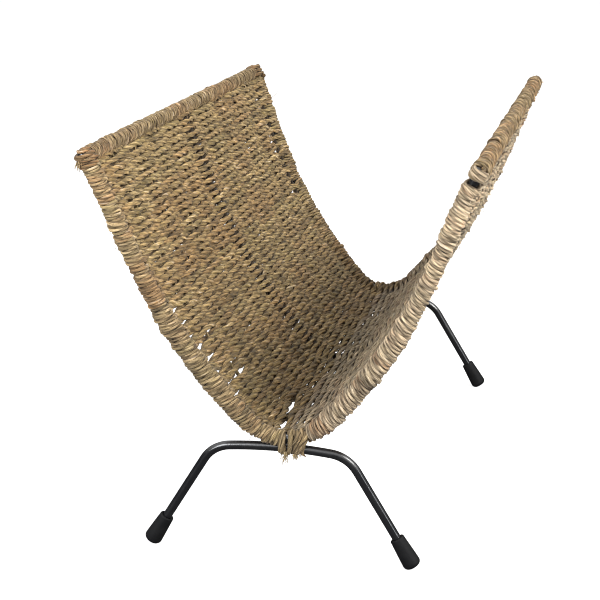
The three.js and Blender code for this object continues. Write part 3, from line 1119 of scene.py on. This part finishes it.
    def row(self, i: int) -> tuple[np.ndarray, np.ndarray]:
        """The axis of row i, from one hoop to the other.

        Args:
            i: the row's number, from the left.

        Returns:
            Its points and how wide it is for its height, at each point.
        """
        front, rear = (float(TROUGH.half_length(TROUGH.at(self.ends[end][i])[1])) for end in (End.FRONT, End.REAR))
        y = np.linspace(-front, rear, 700)
        s = (i - self.middle) * self.pitch + self.shift(i, y)
        half = TROUGH.half_length(TROUGH.at(s)[1])
        u = np.interp(y / half, self.shares, np.arange(self.warps + 2))
        lift = self.lift(i, u) + Wander(self.rng, 230.0, 12.0, 0.12).at(y)
        points = TROUGH.point(s, y, lift - self.belly(s, y))
        near = np.cos(np.pi * u) ** 2 * ease(np.minimum(u, self.warps + 1 - u) * 2)
        middle = np.exp(-(((u - (self.warps + 1) / 2) / 0.11) ** 2))
        widen = (1.3 + 0.25 * near) * (1 - 0.58 * middle) * (1 - 0.4 * np.exp(-(((self.warps + 1 - u) / 0.3) ** 2)))
        stations = evenly(np.concatenate([points, widen[:, None]], axis=1), self.cord.step)
        return stations[:, :3], stations[:, 3]

    def hidden(self, sweep: Sweep, path: np.ndarray, s: float) -> np.ndarray:
        """Finds the painted shade in the crevices between the rows, and between the turns round the hoops.

        Args:
            sweep: a row, with its turns.
            path: its axis.
            s: its place on the profile.

        Returns:
            1 in the deepest crevices and 0 at the tops, for each vertex.
        """
        at = np.full(len(path), s)
        base = TROUGH.point(at, path[:, 1], -self.belly(at, path[:, 1]))
        normal = TROUGH.normal(at)[:, None, :]
        lift = np.sum((sweep.points - base[:, None, :]) * normal, axis=-1)
        facing = np.clip(np.sum((sweep.points - path[:, None, :]) * normal, axis=-1) / 0.5, -1, 1)
        high = float(ease((s - 125.0) / 30.0))  # the upper right side's crevices get deeper painted shade
        woven = 1 - np.clip((lift * facing + 0.5 - 0.8 * high) / self.woven_depth, 0, 1)
        front = path[:, 1:2] < 0
        core = np.where(front, TROUGH.hoop_point(at, End.FRONT), TROUGH.hoop_point(at, End.REAR))
        axis = np.where(front, TROUGH.hoop_axis(at, End.FRONT), TROUGH.hoop_axis(at, End.REAR))
        core = core + np.sum((path - core) * axis, axis=1, keepdims=True) * axis
        wound = facing_core(sweep.points, path, core, self.wound_depth)
        inside = ease((np.abs(core[:, 1]) - np.abs(path[:, 1]) - 4.0) / 6.0)[:, None]
        return wound * (1 - inside) + woven * inside

    def turn(self, i: int, end: End) -> np.ndarray:
        """The axis of the turns that an upper row takes round its hoop, from the hoop's top on.

        Args:
            i: the row's number, which is even.
            end: which hoop.

        Returns:
            Points that end where the next row starts, under the hoop.
        """
        start = self.ends[end][i]
        mate = i + (1 if end is End.FRONT else -1)
        drift = self.ends[end][mate] - start if 0 <= mate < self.rows else self.pitch * (mate - i)
        low, high = self.lash[end]
        lashed = low < start < high
        angles, share = [], []
        quarter = np.radians(np.linspace(0, 90, 16))
        for n in range(6 + (1 if lashed else 0)):
            angles.append(quarter + n * np.pi / 2)
            round_bar = float(lashed and n % 4 in (1, 2))
            share.append(np.full(len(quarter), round_bar))
        angle, share = np.concatenate(angles), np.concatenate(share)
        along = start + drift * ease((angle - np.radians(140)) / np.radians(250)) + 0.5 * np.sin(angle)
        if lashed:
            # A gap between the rows on top of the hoop closes again underneath.
            pushed = start - (i - self.middle) * self.pitch
            along = along - pushed * ease((angle - 1.5) / 1.8) * ease((angle[-1] - angle) / 1.6)
        hoop = TROUGH.hoop_point(along, end)
        bar_y = np.full(len(hoop), end.value * TROUGH.length / 2)
        bar = np.stack([hoop[:, 0] * 0.8, bar_y, np.full(len(hoop), self.bar_height)], 1)
        centre = hoop * (1 - share[:, None]) + bar * share[:, None]
        up = TROUGH.normal(along)
        if lashed:
            apart = unit(hoop - bar)
            blend = ease(angle / np.radians(60))[:, None]
            up = unit(up * (1 - blend) + apart * blend)
        out = np.cross(up, TROUGH.hoop_axis(along, end))
        out *= np.sign(out[:, 1:2]) * end.value
        wobble = self.rng.normal(1, 0.05) + Wander(self.rng, 12.0, 1.6, 0.06).at(angle)
        sag = 2.3 * ease((160 - abs(start)) / 50) * ease((abs(start) - 18) / 20) if end is End.FRONT else 0.8
        size = self.hoop_lift * wobble + sag * (1 - np.cos(angle)) / 2
        if lashed:
            size = size * (1 - 0.22 * share)
        return centre + size[:, None] * (np.cos(angle)[:, None] * up + np.sin(angle)[:, None] * out)

    def remember(self, sweep: Sweep, path: np.ndarray) -> None:
        """Keeps some points of a row's surface, each with the directions out of it and along it.

        Args:
            sweep: the row.
            path: its axis.
        """
        count = self.remembered
        rings = self.rng.choice(np.arange(1, len(path) - 1), count, replace=False)
        points = sweep.points[rings, self.rng.integers(0, sweep.points.shape[1], count)]
        out = unit(points - path[rings])
        along = unit(path[rings + 1] - path[rings - 1])
        self.surface.append(np.concatenate([points, out, along], axis=1))

    def build(self) -> None:
        """Makes the rows, the hoops' bindings and the lashings."""
        bands = {
            (side, n, part): SweptPiece(f"{side.word}_weft_rows_{n + 1}{part}")
            for side in Side
            for n in range(self.bands_per_side)
            for part in "ab"
        }
        wraps = {(end, side): SweptPiece(f"{end.word}_{side.word}_hoop_wraps") for end in End for side in Side}
        lashings = {end: SweptPiece(f"{end.word}_lashing_wraps") for end in End}
        band_reach = self.middle * self.pitch / self.bands_per_side
        for i in range(self.rows):
            s = (i - self.middle) * self.pitch
            side = Side.LEFT if s < 0 else Side.RIGHT
            points, widen = self.row(i)
            pieces = [points]
            widths = [widen]
            if i % 2 == 0:
                turns = {end: evenly(self.turn(i, end), self.cord.step) for end in End}
                pieces = [turns[End.FRONT][::-1], points[1:-1], turns[End.REAR]]
                widths = [np.ones(len(turns[End.FRONT])), widen[1:-1], np.ones(len(turns[End.REAR]))]
            path, width = np.concatenate(pieces), np.concatenate(widths)
            path = evenly(np.concatenate([path, width[:, None]], axis=1), self.cord.step)
            path, width = path[:, :3], path[:, 3]
            across = TROUGH.hoop_axis(np.full(len(path), s), End.FRONT)
            across[:, 1] = 0
            lean = np.where(np.abs(path[:, 1:2]) > 190, 1.0, 0.0) * np.sign(path[:, 1:2]) * TROUGH.lean
            across = unit(across + lean * np.array([[0, 1, 0]]) * across[:, 2:3])
            radius = self.cord.radius * self.rng.uniform(0.88, 1.08)
            cord = replace(self.cord, radius=radius, lay=self.rng.uniform(30, 46))
            whole = SweptPiece("row")
            half = float(TROUGH.half_length(TROUGH.at(np.array(s))[1]))
            twist = 1 + 0.4 * ease((np.abs(path[:, 1]) - half + 8) / 8)
            whole.lay(path, across, cord, self.rng, widen=width, twist=twist, tone=self.rng.normal(0.5, 0.07))
            sweep = whole.sweeps[0]
            # Painted shade in the crevices between the rows and between the turns
            sweep.darken(self.hidden(sweep, path, s))
            self.remember(sweep, path)
            # The row is cut where it turns round the hoops, so that each stretch goes to its own piece.
            inside = np.abs(path[:, 1]) < half - self.turn_reach
            first, last = np.argmax(inside), len(path) - 1 - np.argmax(inside[::-1])
            n = min(int(abs(s) / band_reach), self.bands_per_side - 1)
            part = "a" if abs(s) / band_reach < n + 0.5 else "b"
            bands[side, n, part].sweeps.append(cut(sweep, first, last))
            for end, stretch in ((End.FRONT, cut(sweep, 0, first)), (End.REAR, cut(sweep, last, len(path) - 1))):
                low, high = self.lash[end]
                piece = lashings[end] if low < s < high else wraps[end, side]
                piece.sweeps.append(stretch)
        for (side, n, _), piece in bands.items():
            piece.build(self.finishes.weft[side], Slot.SEAGRASS, f"{side.word}_weft_band_{n + 1}")
        for (end, side), piece in wraps.items():
            piece.build(self.finishes.hoop[side], Slot.BINDING, f"{end.word}_{side.word}_hoop_binding")
        for end, piece in lashings.items():
            piece.build(self.finishes.hoop[Side.LEFT], Slot.BINDING, f"{end.word}_lashing")


def cut(sweep: Sweep, first: int, last: int) -> Sweep:
    """Takes the rings of a sweep from one number to another, both kept."""
    part = slice(first, last + 1)
    return Sweep(
        sweep.points[part],
        sweep.strand[part],
        sweep.groove_shade[part],
        sweep.tone[part],
        sweep.hue,
        sweep.run[part] - sweep.run[first],
    )


@dataclass
class Warps:
    """The cords that run from rail to rail, under and over the rows."""

    finishes: Finishes
    count: int = WARP_COUNT
    cord: Cord = Cord(radius=1.5, lay=11.0)
    middle_cord: Cord = Cord(radius=2.9, lay=14.0)
    edge_radius: float = 2.0  # of the cords beside two of the hoops
    middle_shift: float = MIDDLE_WARP_SHIFT
    rail_gap: float = 3.0  # from a warp's end to a rail's axis
    seed: int = 88

    def build(self) -> None:
        """Makes the warps, each its own piece."""
        rng = np.random.default_rng(self.seed)
        for n, share in enumerate(warp_shares(self.count, self.middle_shift)[1:-1]):
            reach = TROUGH.half_profile - self.rail_gap
            s = np.linspace(-reach, reach, 500)
            half = TROUGH.half_length(TROUGH.at(s)[1])
            y = share * half + Wander(rng, 260.0, 30.0, 0.3).at(s)
            path = evenly(TROUGH.point(s, y, -Weave.belly(s, y)), WARP_STEP)
            middle = n == self.count // 2
            piece = SweptPiece(f"warp_cord_{n + 1}")
            piece.lay(path, ALONG_Y, self.middle_cord if middle else self.cord, rng, tone=0.45)
            # The middle warp is near black: painted shade for the hollows where the rows dive under it
            finish = self.finishes.middle_warp if middle else self.finishes.warp
            piece.build(finish, Slot.SEAGRASS, f"warp_{n + 1}")
        # Two thin near-black cords behind the rows, which show in the slits beside two of the hoops as painted shade.
        for end, side, inwards in ((End.REAR, Side.LEFT, 15.0), (End.FRONT, Side.RIGHT, 22.0)):
            s = side.value * np.linspace(122, TROUGH.half_profile - 4, 240)
            y = end.value * (TROUGH.half_length(TROUGH.at(s)[1]) - inwards)
            path = evenly(TROUGH.point(s, y, -Weave.belly(s, y)), WARP_STEP)
            piece = SweptPiece(f"{end.word}_{side.word}_edge_cord")
            cord = replace(self.middle_cord, radius=self.edge_radius)
            piece.lay(path, ALONG_Y, cord, rng, tone=0.45)
            piece.build(self.finishes.middle_warp, Slot.SEAGRASS)


@dataclass
class RailBindings:
    """The cord wound round the two top rails."""

    finishes: Finishes
    cord: Cord = Cord(radius=1.4, lay=17.0, step=0.9, unevenness=0.22)
    pitch: float = 2.75
    rod_radius: float = ROD_RADIUS
    end_gap: float = 4.5  # from the hoop's axis
    seed: int = 311

    def build(self) -> None:
        """Makes the two bindings."""
        rng = np.random.default_rng(self.seed)
        for side in Side:
            x, z, _ = TROUGH.at(np.array(side.value * TROUGH.half_profile))
            half = float(TROUGH.half_length(z)) - self.end_gap
            turns = 2 * half / self.pitch
            angle = np.linspace(0, 2 * np.pi * turns, int(turns * 28))
            y = -half + angle / (2 * np.pi) * self.pitch + Wander(rng, turns * 6.4, 3.0, 0.38).at(angle)
            radius = self.rod_radius + self.cord.radius * 0.75 + np.abs(Wander(rng, turns * 6.4, 2.4, 0.55).at(angle))
            path = np.stack([x + radius * np.cos(angle), y + 0.5 * np.sin(angle), z + radius * np.sin(angle)], axis=1)
            path = evenly(path, self.cord.step)
            piece = SweptPiece(f"{side.word}_rail_wraps")
            piece.lay(path, ALONG_Y, self.cord, rng, tone=0.5, hue=0.55)
            core = np.stack([np.full(len(path), float(x)), path[:, 1], np.full(len(path), float(z))], axis=1)
            # Painted shade where the wraps face the rail and each other
            piece.sweeps[0].darken(facing_core(piece.sweeps[0].points, path, core, 1.5))
            piece.build(self.finishes.rail, Slot.BINDING, f"{side.word}_rail_binding")


@dataclass
class CornerLoops:
    """The last turns round each hoop's end, which close it over and hold the top rail."""

    finishes: Finishes
    cord: Cord = Cord(radius=1.9, lay=26.0, step=0.9, unevenness=0.14)
    pitch: float = 3.4
    inward: float = 2.4  # how far the loops reach in over the rail's binding
    seed: int = 57

    @staticmethod
    def bulk(end: End, side: Side) -> float:
        """Finds how thick a corner is.

        Args:
            end: which hoop.
            side: which of its ends.

        Returns:
            How far the corner's turns stand off the hoop's axis.
        """
        if side is Side.LEFT:
            return 5.7 if end is End.FRONT else 7.6
        return 4.6

    def path(self, end: End, side: Side, start: float, rng: np.random.Generator) -> np.ndarray:
        """The axis of one corner's turns.

        Args:
            end: which hoop.
            side: which of its ends.
            start: the distance along the profile where the turns start.
            rng: the source of their unevenness.

        Returns:
            The points, from the hoop's side to its tip.
        """
        tip = TROUGH.half_profile + self.bulk(end, side) - 1.0
        turns = (tip - start) / self.pitch
        angle = np.linspace(0, 2 * np.pi * turns, int(turns * 40))
        along = start + (tip - start) * angle / angle[-1]
        left = (tip - along) / 3.6
        closing = np.clip(left, 0.12, 1.0) ** 0.6
        hoop = TROUGH.hoop_point(side.value * np.minimum(along, TROUGH.half_profile + 3.2), end)
        axis = TROUGH.hoop_axis(side.value * along, end) * side.value
        hoop = hoop + axis * np.maximum(along - TROUGH.half_profile - 3.2, 0)[:, None] * 0.6
        up = TROUGH.normal(side.value * along)
        out = np.cross(up, axis)
        out *= np.sign(out[:, 1:2]) * end.value
        wobble = 1 + Wander(rng, float(angle[-1]) + 1, 1.7, 0.06).at(angle)
        size = (self.bulk(end, side) * closing * wobble)[:, None]
        reach_in = (self.inward * closing)[:, None]
        across = np.sin(angle)[:, None] * (size + reach_in) - reach_in
        return hoop + size * np.cos(angle)[:, None] * up + across * out

    def build(self) -> None:
        """Makes the turns at the four corners."""
        rng = np.random.default_rng(self.seed)
        for end in End:
            for side in Side:
                start = TROUGH.half_profile - (2.5 if (end, side) == (End.FRONT, Side.RIGHT) else 7.0)
                path = evenly(self.path(end, side, start, rng), self.cord.step)
                piece = SweptPiece(f"{end.word}_{side.word}_corner_loops")
                across = TROUGH.hoop_axis(np.full(len(path), side.value * TROUGH.half_profile), end)
                piece.lay(path, across, self.cord, rng, tone=0.45, hue=0.7)
                at = np.full(len(path), side.value * TROUGH.half_profile)
                core = TROUGH.hoop_point(at, end)
                axis = TROUGH.hoop_axis(at, end)
                core = core + np.sum((path - core) * axis, axis=1, keepdims=True) * axis
                # Painted shade where the turns face the hoop and each other
                hidden = facing_core(piece.sweeps[0].points, path, core, 1.6)
                closing = np.clip(np.linalg.norm(path - core, axis=1) / 4.5, 0, 1) ** 2
                piece.sweeps[0].darken(hidden * closing[:, None])
                piece.build(self.finishes.corner, Slot.BINDING)


@dataclass
class LooseFibres:
    """Stray fibres that stand off the cords, and the frayed ends of cords that were cut off."""

    finishes: Finishes
    fibre: Cord = Cord(radius=0.16, step=0.9, sides=4, strand_offset=0.0, unevenness=0.2)
    count: int = 2600
    seed: int = 902

    def strand(
        self,
        piece: SweptPiece,
        root: np.ndarray,
        way: np.ndarray,
        length: float,
        curl: float,
        rng: np.random.Generator,
        radius: float = 0.16,
    ) -> None:
        """Adds one tapering fibre.

        Args:
            piece: the piece that it goes to.
            root: where it starts.
            way: the direction that it starts in.
            length: its length.
            curl: how much it bends.
            rng: the source of its bend.
            radius: half of its thickness at the root.
        """
        steps = max(4, int(length / self.fibre.step))
        turn = rng.normal(0, curl, (2, 3))
        t = np.linspace(0, 1, steps)[:, None]
        heading = unit(way + t * turn[0] + t**2 * turn[1])
        path = root + np.cumsum(heading, axis=0) * length / steps
        aside = np.cross(way, [0.3, 0.5, 0.8])
        fibre = replace(self.fibre, radius=radius)
        piece.lay(path, aside, fibre, rng, taper=(1 - 0.75 * t[:, 0]), tone=rng.uniform(0.35, 0.65))

    def build(self, anchors: np.ndarray, outwards: np.ndarray, along: np.ndarray) -> None:
        """Makes the stray fibres.

        Args:
            anchors: points on the cords' surfaces.
            outwards: the surface's direction at each of them.
            along: the cord's direction at each of them.
        """
        rng = np.random.default_rng(self.seed)
        piece = SweptPiece("stray_fibres")
        for n in rng.choice(len(anchors), self.count, replace=False):
            way = unit(outwards[n] * rng.uniform(0.25, 0.9) + along[n] * rng.uniform(-1, 1) + rng.normal(0, 0.25, 3))
            length = float(np.clip(rng.exponential(3.6) + 1.5, 1.5, 16.0))
            self.strand(piece, anchors[n], way, length, 0.5, rng)
        piece.build(self.finishes.weft[Side.RIGHT], Slot.SEAGRASS)
        tails = SweptPiece("frayed_cord_ends")
        front = -TROUGH.length / 2
        spots = (
            (np.array([2.0, front - 4.0, 82.0]), np.array([-0.1, -0.3, -1.0]), 8.5, 18),
            (np.array([8.5, front - 3.5, 80.5]), np.array([0.25, -0.2, -1.0]), 5.0, 16),
            (np.array([13.0, front - 2.5, 81.0]), np.array([0.6, -0.2, -0.8]), 4.0, 10),
            (np.array([-135.0, -226.5, 288.0]), np.array([-0.1, -0.6, -0.9]), 8.0, 18),
            (np.array([136.5, 223.0, 288.0]), np.array([0.5, 0.5, 0.7]), 6.0, 10),
        )
        for root, way, length, number in spots:
            for _ in range(number):
                start = root + rng.normal(0, 0.7, 3)
                heading = unit(way + rng.normal(0, 0.22, 3))
                self.strand(tails, start, heading, length * rng.uniform(0.5, 1.1), 0.35, rng, 0.42)
        tails.build(self.finishes.hoop[Side.LEFT], Slot.BINDING)


# ---- Steel and rubber ----
@dataclass
class SteelFrame:
    """The leg frames, the hoops, the top rails and the welds between them."""

    finishes: Finishes
    rod: Cord = Cord(radius=ROD_RADIUS, step=2.0, sides=28, strand_offset=0.0, unevenness=0.0)
    bar_height: float = BAR_HEIGHT
    bow_radius: float = 360.0
    bend_half_spread: float = 47.5
    foot_half_spread: float = 98.5
    bend_radius: float = 25.0
    offset: float = -3.5
    rod_end_height: float = 6.4
    bead_rings: int = 40
    bead_sides: int = 24
    seed: int = 19

    def leg_axis(self, end: End) -> np.ndarray:
        """Follows a leg frame up one leg, along the bowed bar and down the other leg.

        Args:
            end: which of the two frames.

        Returns:
            The points of its axis.
        """
        run = self.foot_half_spread - self.bend_half_spread
        turn = math.atan2(self.bar_height, run)
        outwards = np.array([math.sin(turn), math.cos(turn)])
        down = np.array([math.cos(turn), -math.sin(turn)])
        beside = np.array([self.bend_half_spread, self.bow_radius]) - self.bend_radius * outwards
        reach = self.bow_radius - self.bend_radius
        along = float(beside @ down)
        centre = beside + down * (-along - math.sqrt(along**2 - float(beside @ beside) + reach**2))
        bow_end = math.atan2(centre[0], centre[1])
        bow = np.linspace(0, bow_end, 12)[1:-1]
        bend = np.linspace(bow_end, turn, 24)
        foot_x = self.foot_half_spread - run * self.rod_end_height / self.bar_height
        x = np.concatenate([self.bow_radius * np.sin(bow), centre[0] + self.bend_radius * np.sin(bend), [foot_x]])
        high = np.concatenate([self.bow_radius * np.cos(bow), centre[1] + self.bend_radius * np.cos(bend)])
        z = np.append(high + self.bar_height - self.bow_radius, self.rod_end_height)
        half = np.stack([x, z], axis=1)
        whole = np.concatenate([half[::-1] * [-1, 1], [[0.0, self.bar_height]], half])
        y = np.full(len(whole), end.value * TROUGH.length / 2)
        return np.stack([whole[:, 0] + self.offset, y, whole[:, 1]], axis=1)

    def rod_piece(self, name: str, axis: np.ndarray, across: np.ndarray, node: str) -> None:
        """Makes one rod along an axis, in place of a CAD node.

        Args:
            name: the piece's name.
            axis: the points of its axis.
            across: a direction across it.
            node: the CAD node that it stands for.
        """
        piece = SweptPiece(name)
        piece.lay(evenly(axis, self.rod.step), across, self.rod, np.random.default_rng(self.seed))
        piece.build(self.finishes.steel, Slot.STEEL, node)

    def bead(self, name: str, node: str, ripples: int) -> None:
        """Makes a weld bead in the box of a CAD node.

        Args:
            name: the piece's name.
            node: the CAD node that it stands for.
            ripples: how many waves its surface has.
        """
        low, high = (np.array(corner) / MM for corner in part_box(node))
        centre, size = (low + high) / 2, (high - low) / 2
        rings, sides = self.bead_rings, self.bead_sides
        theta = np.linspace(0.02, np.pi - 0.02, rings)[:, None]
        phi = 2 * np.pi * np.arange(sides)[None, :] / sides
        along = -np.cos(theta) + 0 * phi
        reach = np.sin(theta) ** 0.6 * (1 + 0.05 * np.cos(ripples * np.pi * along))
        axis = int(np.argmax(size))
        local = np.zeros((rings, sides, 3))
        local[..., axis] = along
        local[..., (axis + 1) % 3] = reach * np.cos(phi)
        local[..., (axis + 2) % 3] = reach * np.sin(phi)
        piece = SweptPiece(name)
        points = centre + local * size * 0.98
        zero = np.zeros((rings, sides))
        run = np.linspace(0, 2 * size[axis], rings)
        piece.sweeps.append(Sweep(points, np.zeros((rings, sides, 3)), zero, zero, 0.5, run))
        piece.build(self.finishes.weld, Slot.STEEL, node)

    def build(self) -> None:
        """Makes every steel piece."""
        for end in End:
            name = end.word
            self.rod_piece(f"{name}_leg_rod", self.leg_axis(end), ALONG_Y, f"{name}_leg_frame")
            reach = TROUGH.half_profile + self.rod.radius
            s = np.linspace(-reach, reach, 400)
            self.rod_piece(f"{name}_hoop_rod", TROUGH.hoop_point(s, end), ALONG_Y, f"{name}_hoop")
            for face, ripples in (("outer", 11), ("inner", 9)):
                self.bead(f"{name}_hoop_bead_{face}", f"{name}_hoop_weld_{face}", ripples)
            for side in Side:
                self.bead(f"{name}_{side.word}_corner_bead", f"{name}_{side.word}_corner_weld", 2)
        for side in Side:
            low, high = (np.array(corner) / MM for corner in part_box(f"{side.word}_top_rail"))
            middle = (low + high) / 2
            axis = np.array([[middle[0], low[1], middle[2]], [middle[0], high[1], middle[2]]])
            self.rod_piece(f"{side.word}_rail_rod", axis, ALONG_Z, f"{side.word}_top_rail")


@dataclass
class FootCaps:
    """The rubber caps on the legs' ends."""

    finishes: Finishes
    frame: SteelFrame
    length: float = 24.0
    bottom_radius: float = 6.5
    top_radius: float = 5.25
    edge_radius: float = 3.5
    rim: float = 0.7
    flat_depth: float = 0.6
    hub_radius: float = 0.3  # of the smallest ring, which closes the cap's two ends
    sides: int = 40

    def profile(self) -> np.ndarray:
        """Draws half of the cap's section.

        Returns:
            Radius and height of its points, from the middle of the bottom to the bore.
        """
        edge = np.linspace(-np.pi / 2, 0, 9)
        middle = self.bottom_radius - self.edge_radius
        low = np.stack([middle + self.edge_radius * np.cos(edge), self.edge_radius * (1 + np.sin(edge))], 1)
        up = np.linspace(0, 1, 10)[1:]
        straight = self.length - self.rim - self.edge_radius
        side = np.stack(
            [
                self.bottom_radius + (self.top_radius - self.bottom_radius) * up**1.15,
                self.edge_radius + straight * up,
            ],
            1,
        )
        turn = np.linspace(0, np.pi / 2, 5)[1:]
        rim = np.stack(
            [self.top_radius - self.rim * (1 - np.cos(turn)), self.length - self.rim + self.rim * np.sin(turn)], 1
        )
        # The rim's inner edge, the bore's wall and its floor, as radius and depth under the top
        inside = ((3.7, 0.0), (3.32, 0.5), (3.3, 4.0), (self.hub_radius, 5.0))
        bore = np.array([[radius, self.length - depth] for radius, depth in inside])
        return np.concatenate([[[self.hub_radius, 0.0]], low, side, rim, bore])

    def build(self) -> None:
        """Makes the four caps."""
        frame = self.frame
        tilt = math.atan2(frame.foot_half_spread - frame.bend_half_spread, frame.bar_height)
        drop = (self.bottom_radius - self.edge_radius) * math.sin(tilt)
        drop += self.edge_radius - self.edge_radius * math.cos(tilt)
        centre_height = drop - self.flat_depth
        out = frame.foot_half_spread - centre_height * math.tan(tilt)
        profile = self.profile()
        run = np.concatenate([[0], np.cumsum(np.linalg.norm(np.diff(profile, axis=0), axis=1))])
        phi = 2 * np.pi * np.arange(self.sides) / self.sides
        ring = np.stack([np.cos(phi), np.sin(phi)], 1)
        local = np.zeros((len(profile), self.sides, 3))
        local[..., :2] = profile[:, None, :1] * ring[None]
        local[..., 2] = profile[:, 1:2]
        for end in End:
            for side in Side:
                lean = -side.value * tilt
                x = local[..., 0] * math.cos(lean) + local[..., 2] * math.sin(lean)
                z = -local[..., 0] * math.sin(lean) + local[..., 2] * math.cos(lean)
                points = np.stack(
                    [
                        x + frame.offset + side.value * out,
                        local[..., 1] + end.value * TROUGH.length / 2,
                        np.maximum(z + centre_height, 0.0),
                    ],
                    axis=-1,
                )
                zero = np.zeros(points.shape[:2])
                piece = SweptPiece(f"{end.word}_{side.word}_cap")
                piece.sweeps.append(Sweep(points, np.zeros_like(points), zero, zero, 0.5, run))
                piece.build(self.finishes.rubber, Slot.RUBBER, f"{end.word}_{side.word}_foot_cap")


# ---- The studio ----
@dataclass(frozen=True)
class SoftLight:
    """A large soft lamp, aimed at the rack."""

    name: str
    place: tuple[float, float, float]
    size: tuple[float, float]
    power: float
    colour: tuple[float, float, float] = (1.0, 1.0, 1.0)

    def build(self, aim: Vector) -> None:
        """Makes the lamp.

        Args:
            aim: the point that it is aimed at.
        """
        lamp = bpy.data.lights.new(self.name, "AREA")
        lamp.shape = "RECTANGLE"
        lamp.size, lamp.size_y = self.size
        lamp.energy = self.power
        lamp.color = self.colour
        obj = bpy.data.objects.new(self.name, lamp)
        obj.location = self.place
        obj.rotation_euler = (aim - Vector(self.place)).to_track_quat("-Z", "Y").to_euler()
        bpy.context.scene.collection.objects.link(obj)


@dataclass
class Studio:
    """The floor, the lamps, the white surroundings and the camera."""

    camera_place: tuple[float, float, float] = (0.2378, -1.1627, 0.4772)
    camera_aim: tuple[float, float, float] = (-0.0358, 0.0, 0.1335)
    lens: float = 90.0
    sensor: float = 36.0
    floor_half: float = 9.0
    lights: tuple[SoftLight, ...] = (
        SoftLight("key_lamp", (1.55, -0.75, 1.75), (0.8, 0.8), 48.0, (1.0, 0.985, 0.96)),
        SoftLight("front_lamp", (-1.2, -1.9, 1.0), (0.7, 1.0), 32.0, (0.95, 0.97, 1.0)),
        SoftLight("side_lamp", (1.9, -0.9, 0.35), (0.25, 1.1), 7.0, (0.92, 0.95, 1.0)),
        SoftLight("top_lamp", (-0.5, 0.3, 2.1), (0.9, 0.9), 8.0),
    )

    def camera(self) -> None:
        """Makes the camera."""
        data = bpy.data.cameras.new("camera")
        data.lens, data.sensor_width = self.lens, self.sensor
        data.clip_start, data.clip_end = 0.05, 50.0
        obj = bpy.data.objects.new("camera", data)
        obj.location = self.camera_place
        aim = Vector(self.camera_aim) - Vector(self.camera_place)
        obj.rotation_euler = aim.to_track_quat("-Z", "Y").to_euler()
        bpy.context.scene.collection.objects.link(obj)
        bpy.context.scene.camera = obj

    def surroundings(self) -> None:
        """Makes the soft white light from all around.

        It is plain white to the camera. The cords get more of it from the sides than from above, and
        the paint mirrors a bright sky over a dark horizon.
        """
        world = bpy.data.worlds.new("studio_surroundings")
        world.use_nodes = True
        sheet = NodeSheet(world.node_tree)
        background = world.node_tree.nodes["Background"]
        place = sheet.add("ShaderNodeTexCoord").outputs["Generated"]
        height = sheet.add("ShaderNodeSeparateXYZ", {0: place}).outputs[2]
        lit = sheet.between(height, 0.15, 0.95, 0.665, 0.21)
        rays = sheet.add("ShaderNodeLightPath")
        mirrored = sheet.between(height, 0.1, 0.7, 0.05, 1.4)
        glossy, seen = rays.outputs["Is Glossy Ray"], rays.outputs["Is Camera Ray"]
        lit = sheet.add("ShaderNodeMix", {0: glossy, 2: lit, 3: mirrored}, data_type="FLOAT").outputs[0]
        strength = sheet.add("ShaderNodeMix", {0: seen, 2: lit, 3: 1.0}, data_type="FLOAT").outputs[0]
        background.inputs["Color"].default_value = (1, 1, 1, 1)
        world.node_tree.links.new(strength, background.inputs["Strength"])
        bpy.context.scene.world = world

    def build(self) -> None:
        """Makes the whole studio."""
        self.camera()
        self.surroundings()
        for light in self.lights:
            light.build(Vector((0.0, 0.0, 0.15)))
        half = self.floor_half
        corners = np.array([[-half, -half, 0], [half, -half, 0], [half, half, 0], [-half, half, 0]], float)
        floor = new_object("studio_floor", corners, np.arange(4), np.array([4]))
        floor.data.materials.append(FloorFinish().material())
        view = bpy.context.scene.view_settings
        view.view_transform = "Standard"
        view.look = "None"
        bpy.context.scene.cycles.filter_width = 1.0


def main() -> None:
    """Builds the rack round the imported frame."""
    logging.basicConfig(level=logging.INFO, format="%(message)s")
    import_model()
    Studio().build()
    finishes = Finishes()
    frame = SteelFrame(finishes)
    frame.build()
    FootCaps(finishes, frame).build()
    weave = Weave(finishes)
    weave.build()
    surface = np.concatenate(weave.surface)
    CornerLoops(finishes).build()
    LooseFibres(finishes).build(surface[:, :3], surface[:, 3:6], surface[:, 6:])
    Warps(finishes).build()
    RailBindings(finishes).build()


if __name__ == "__main__":
    main()
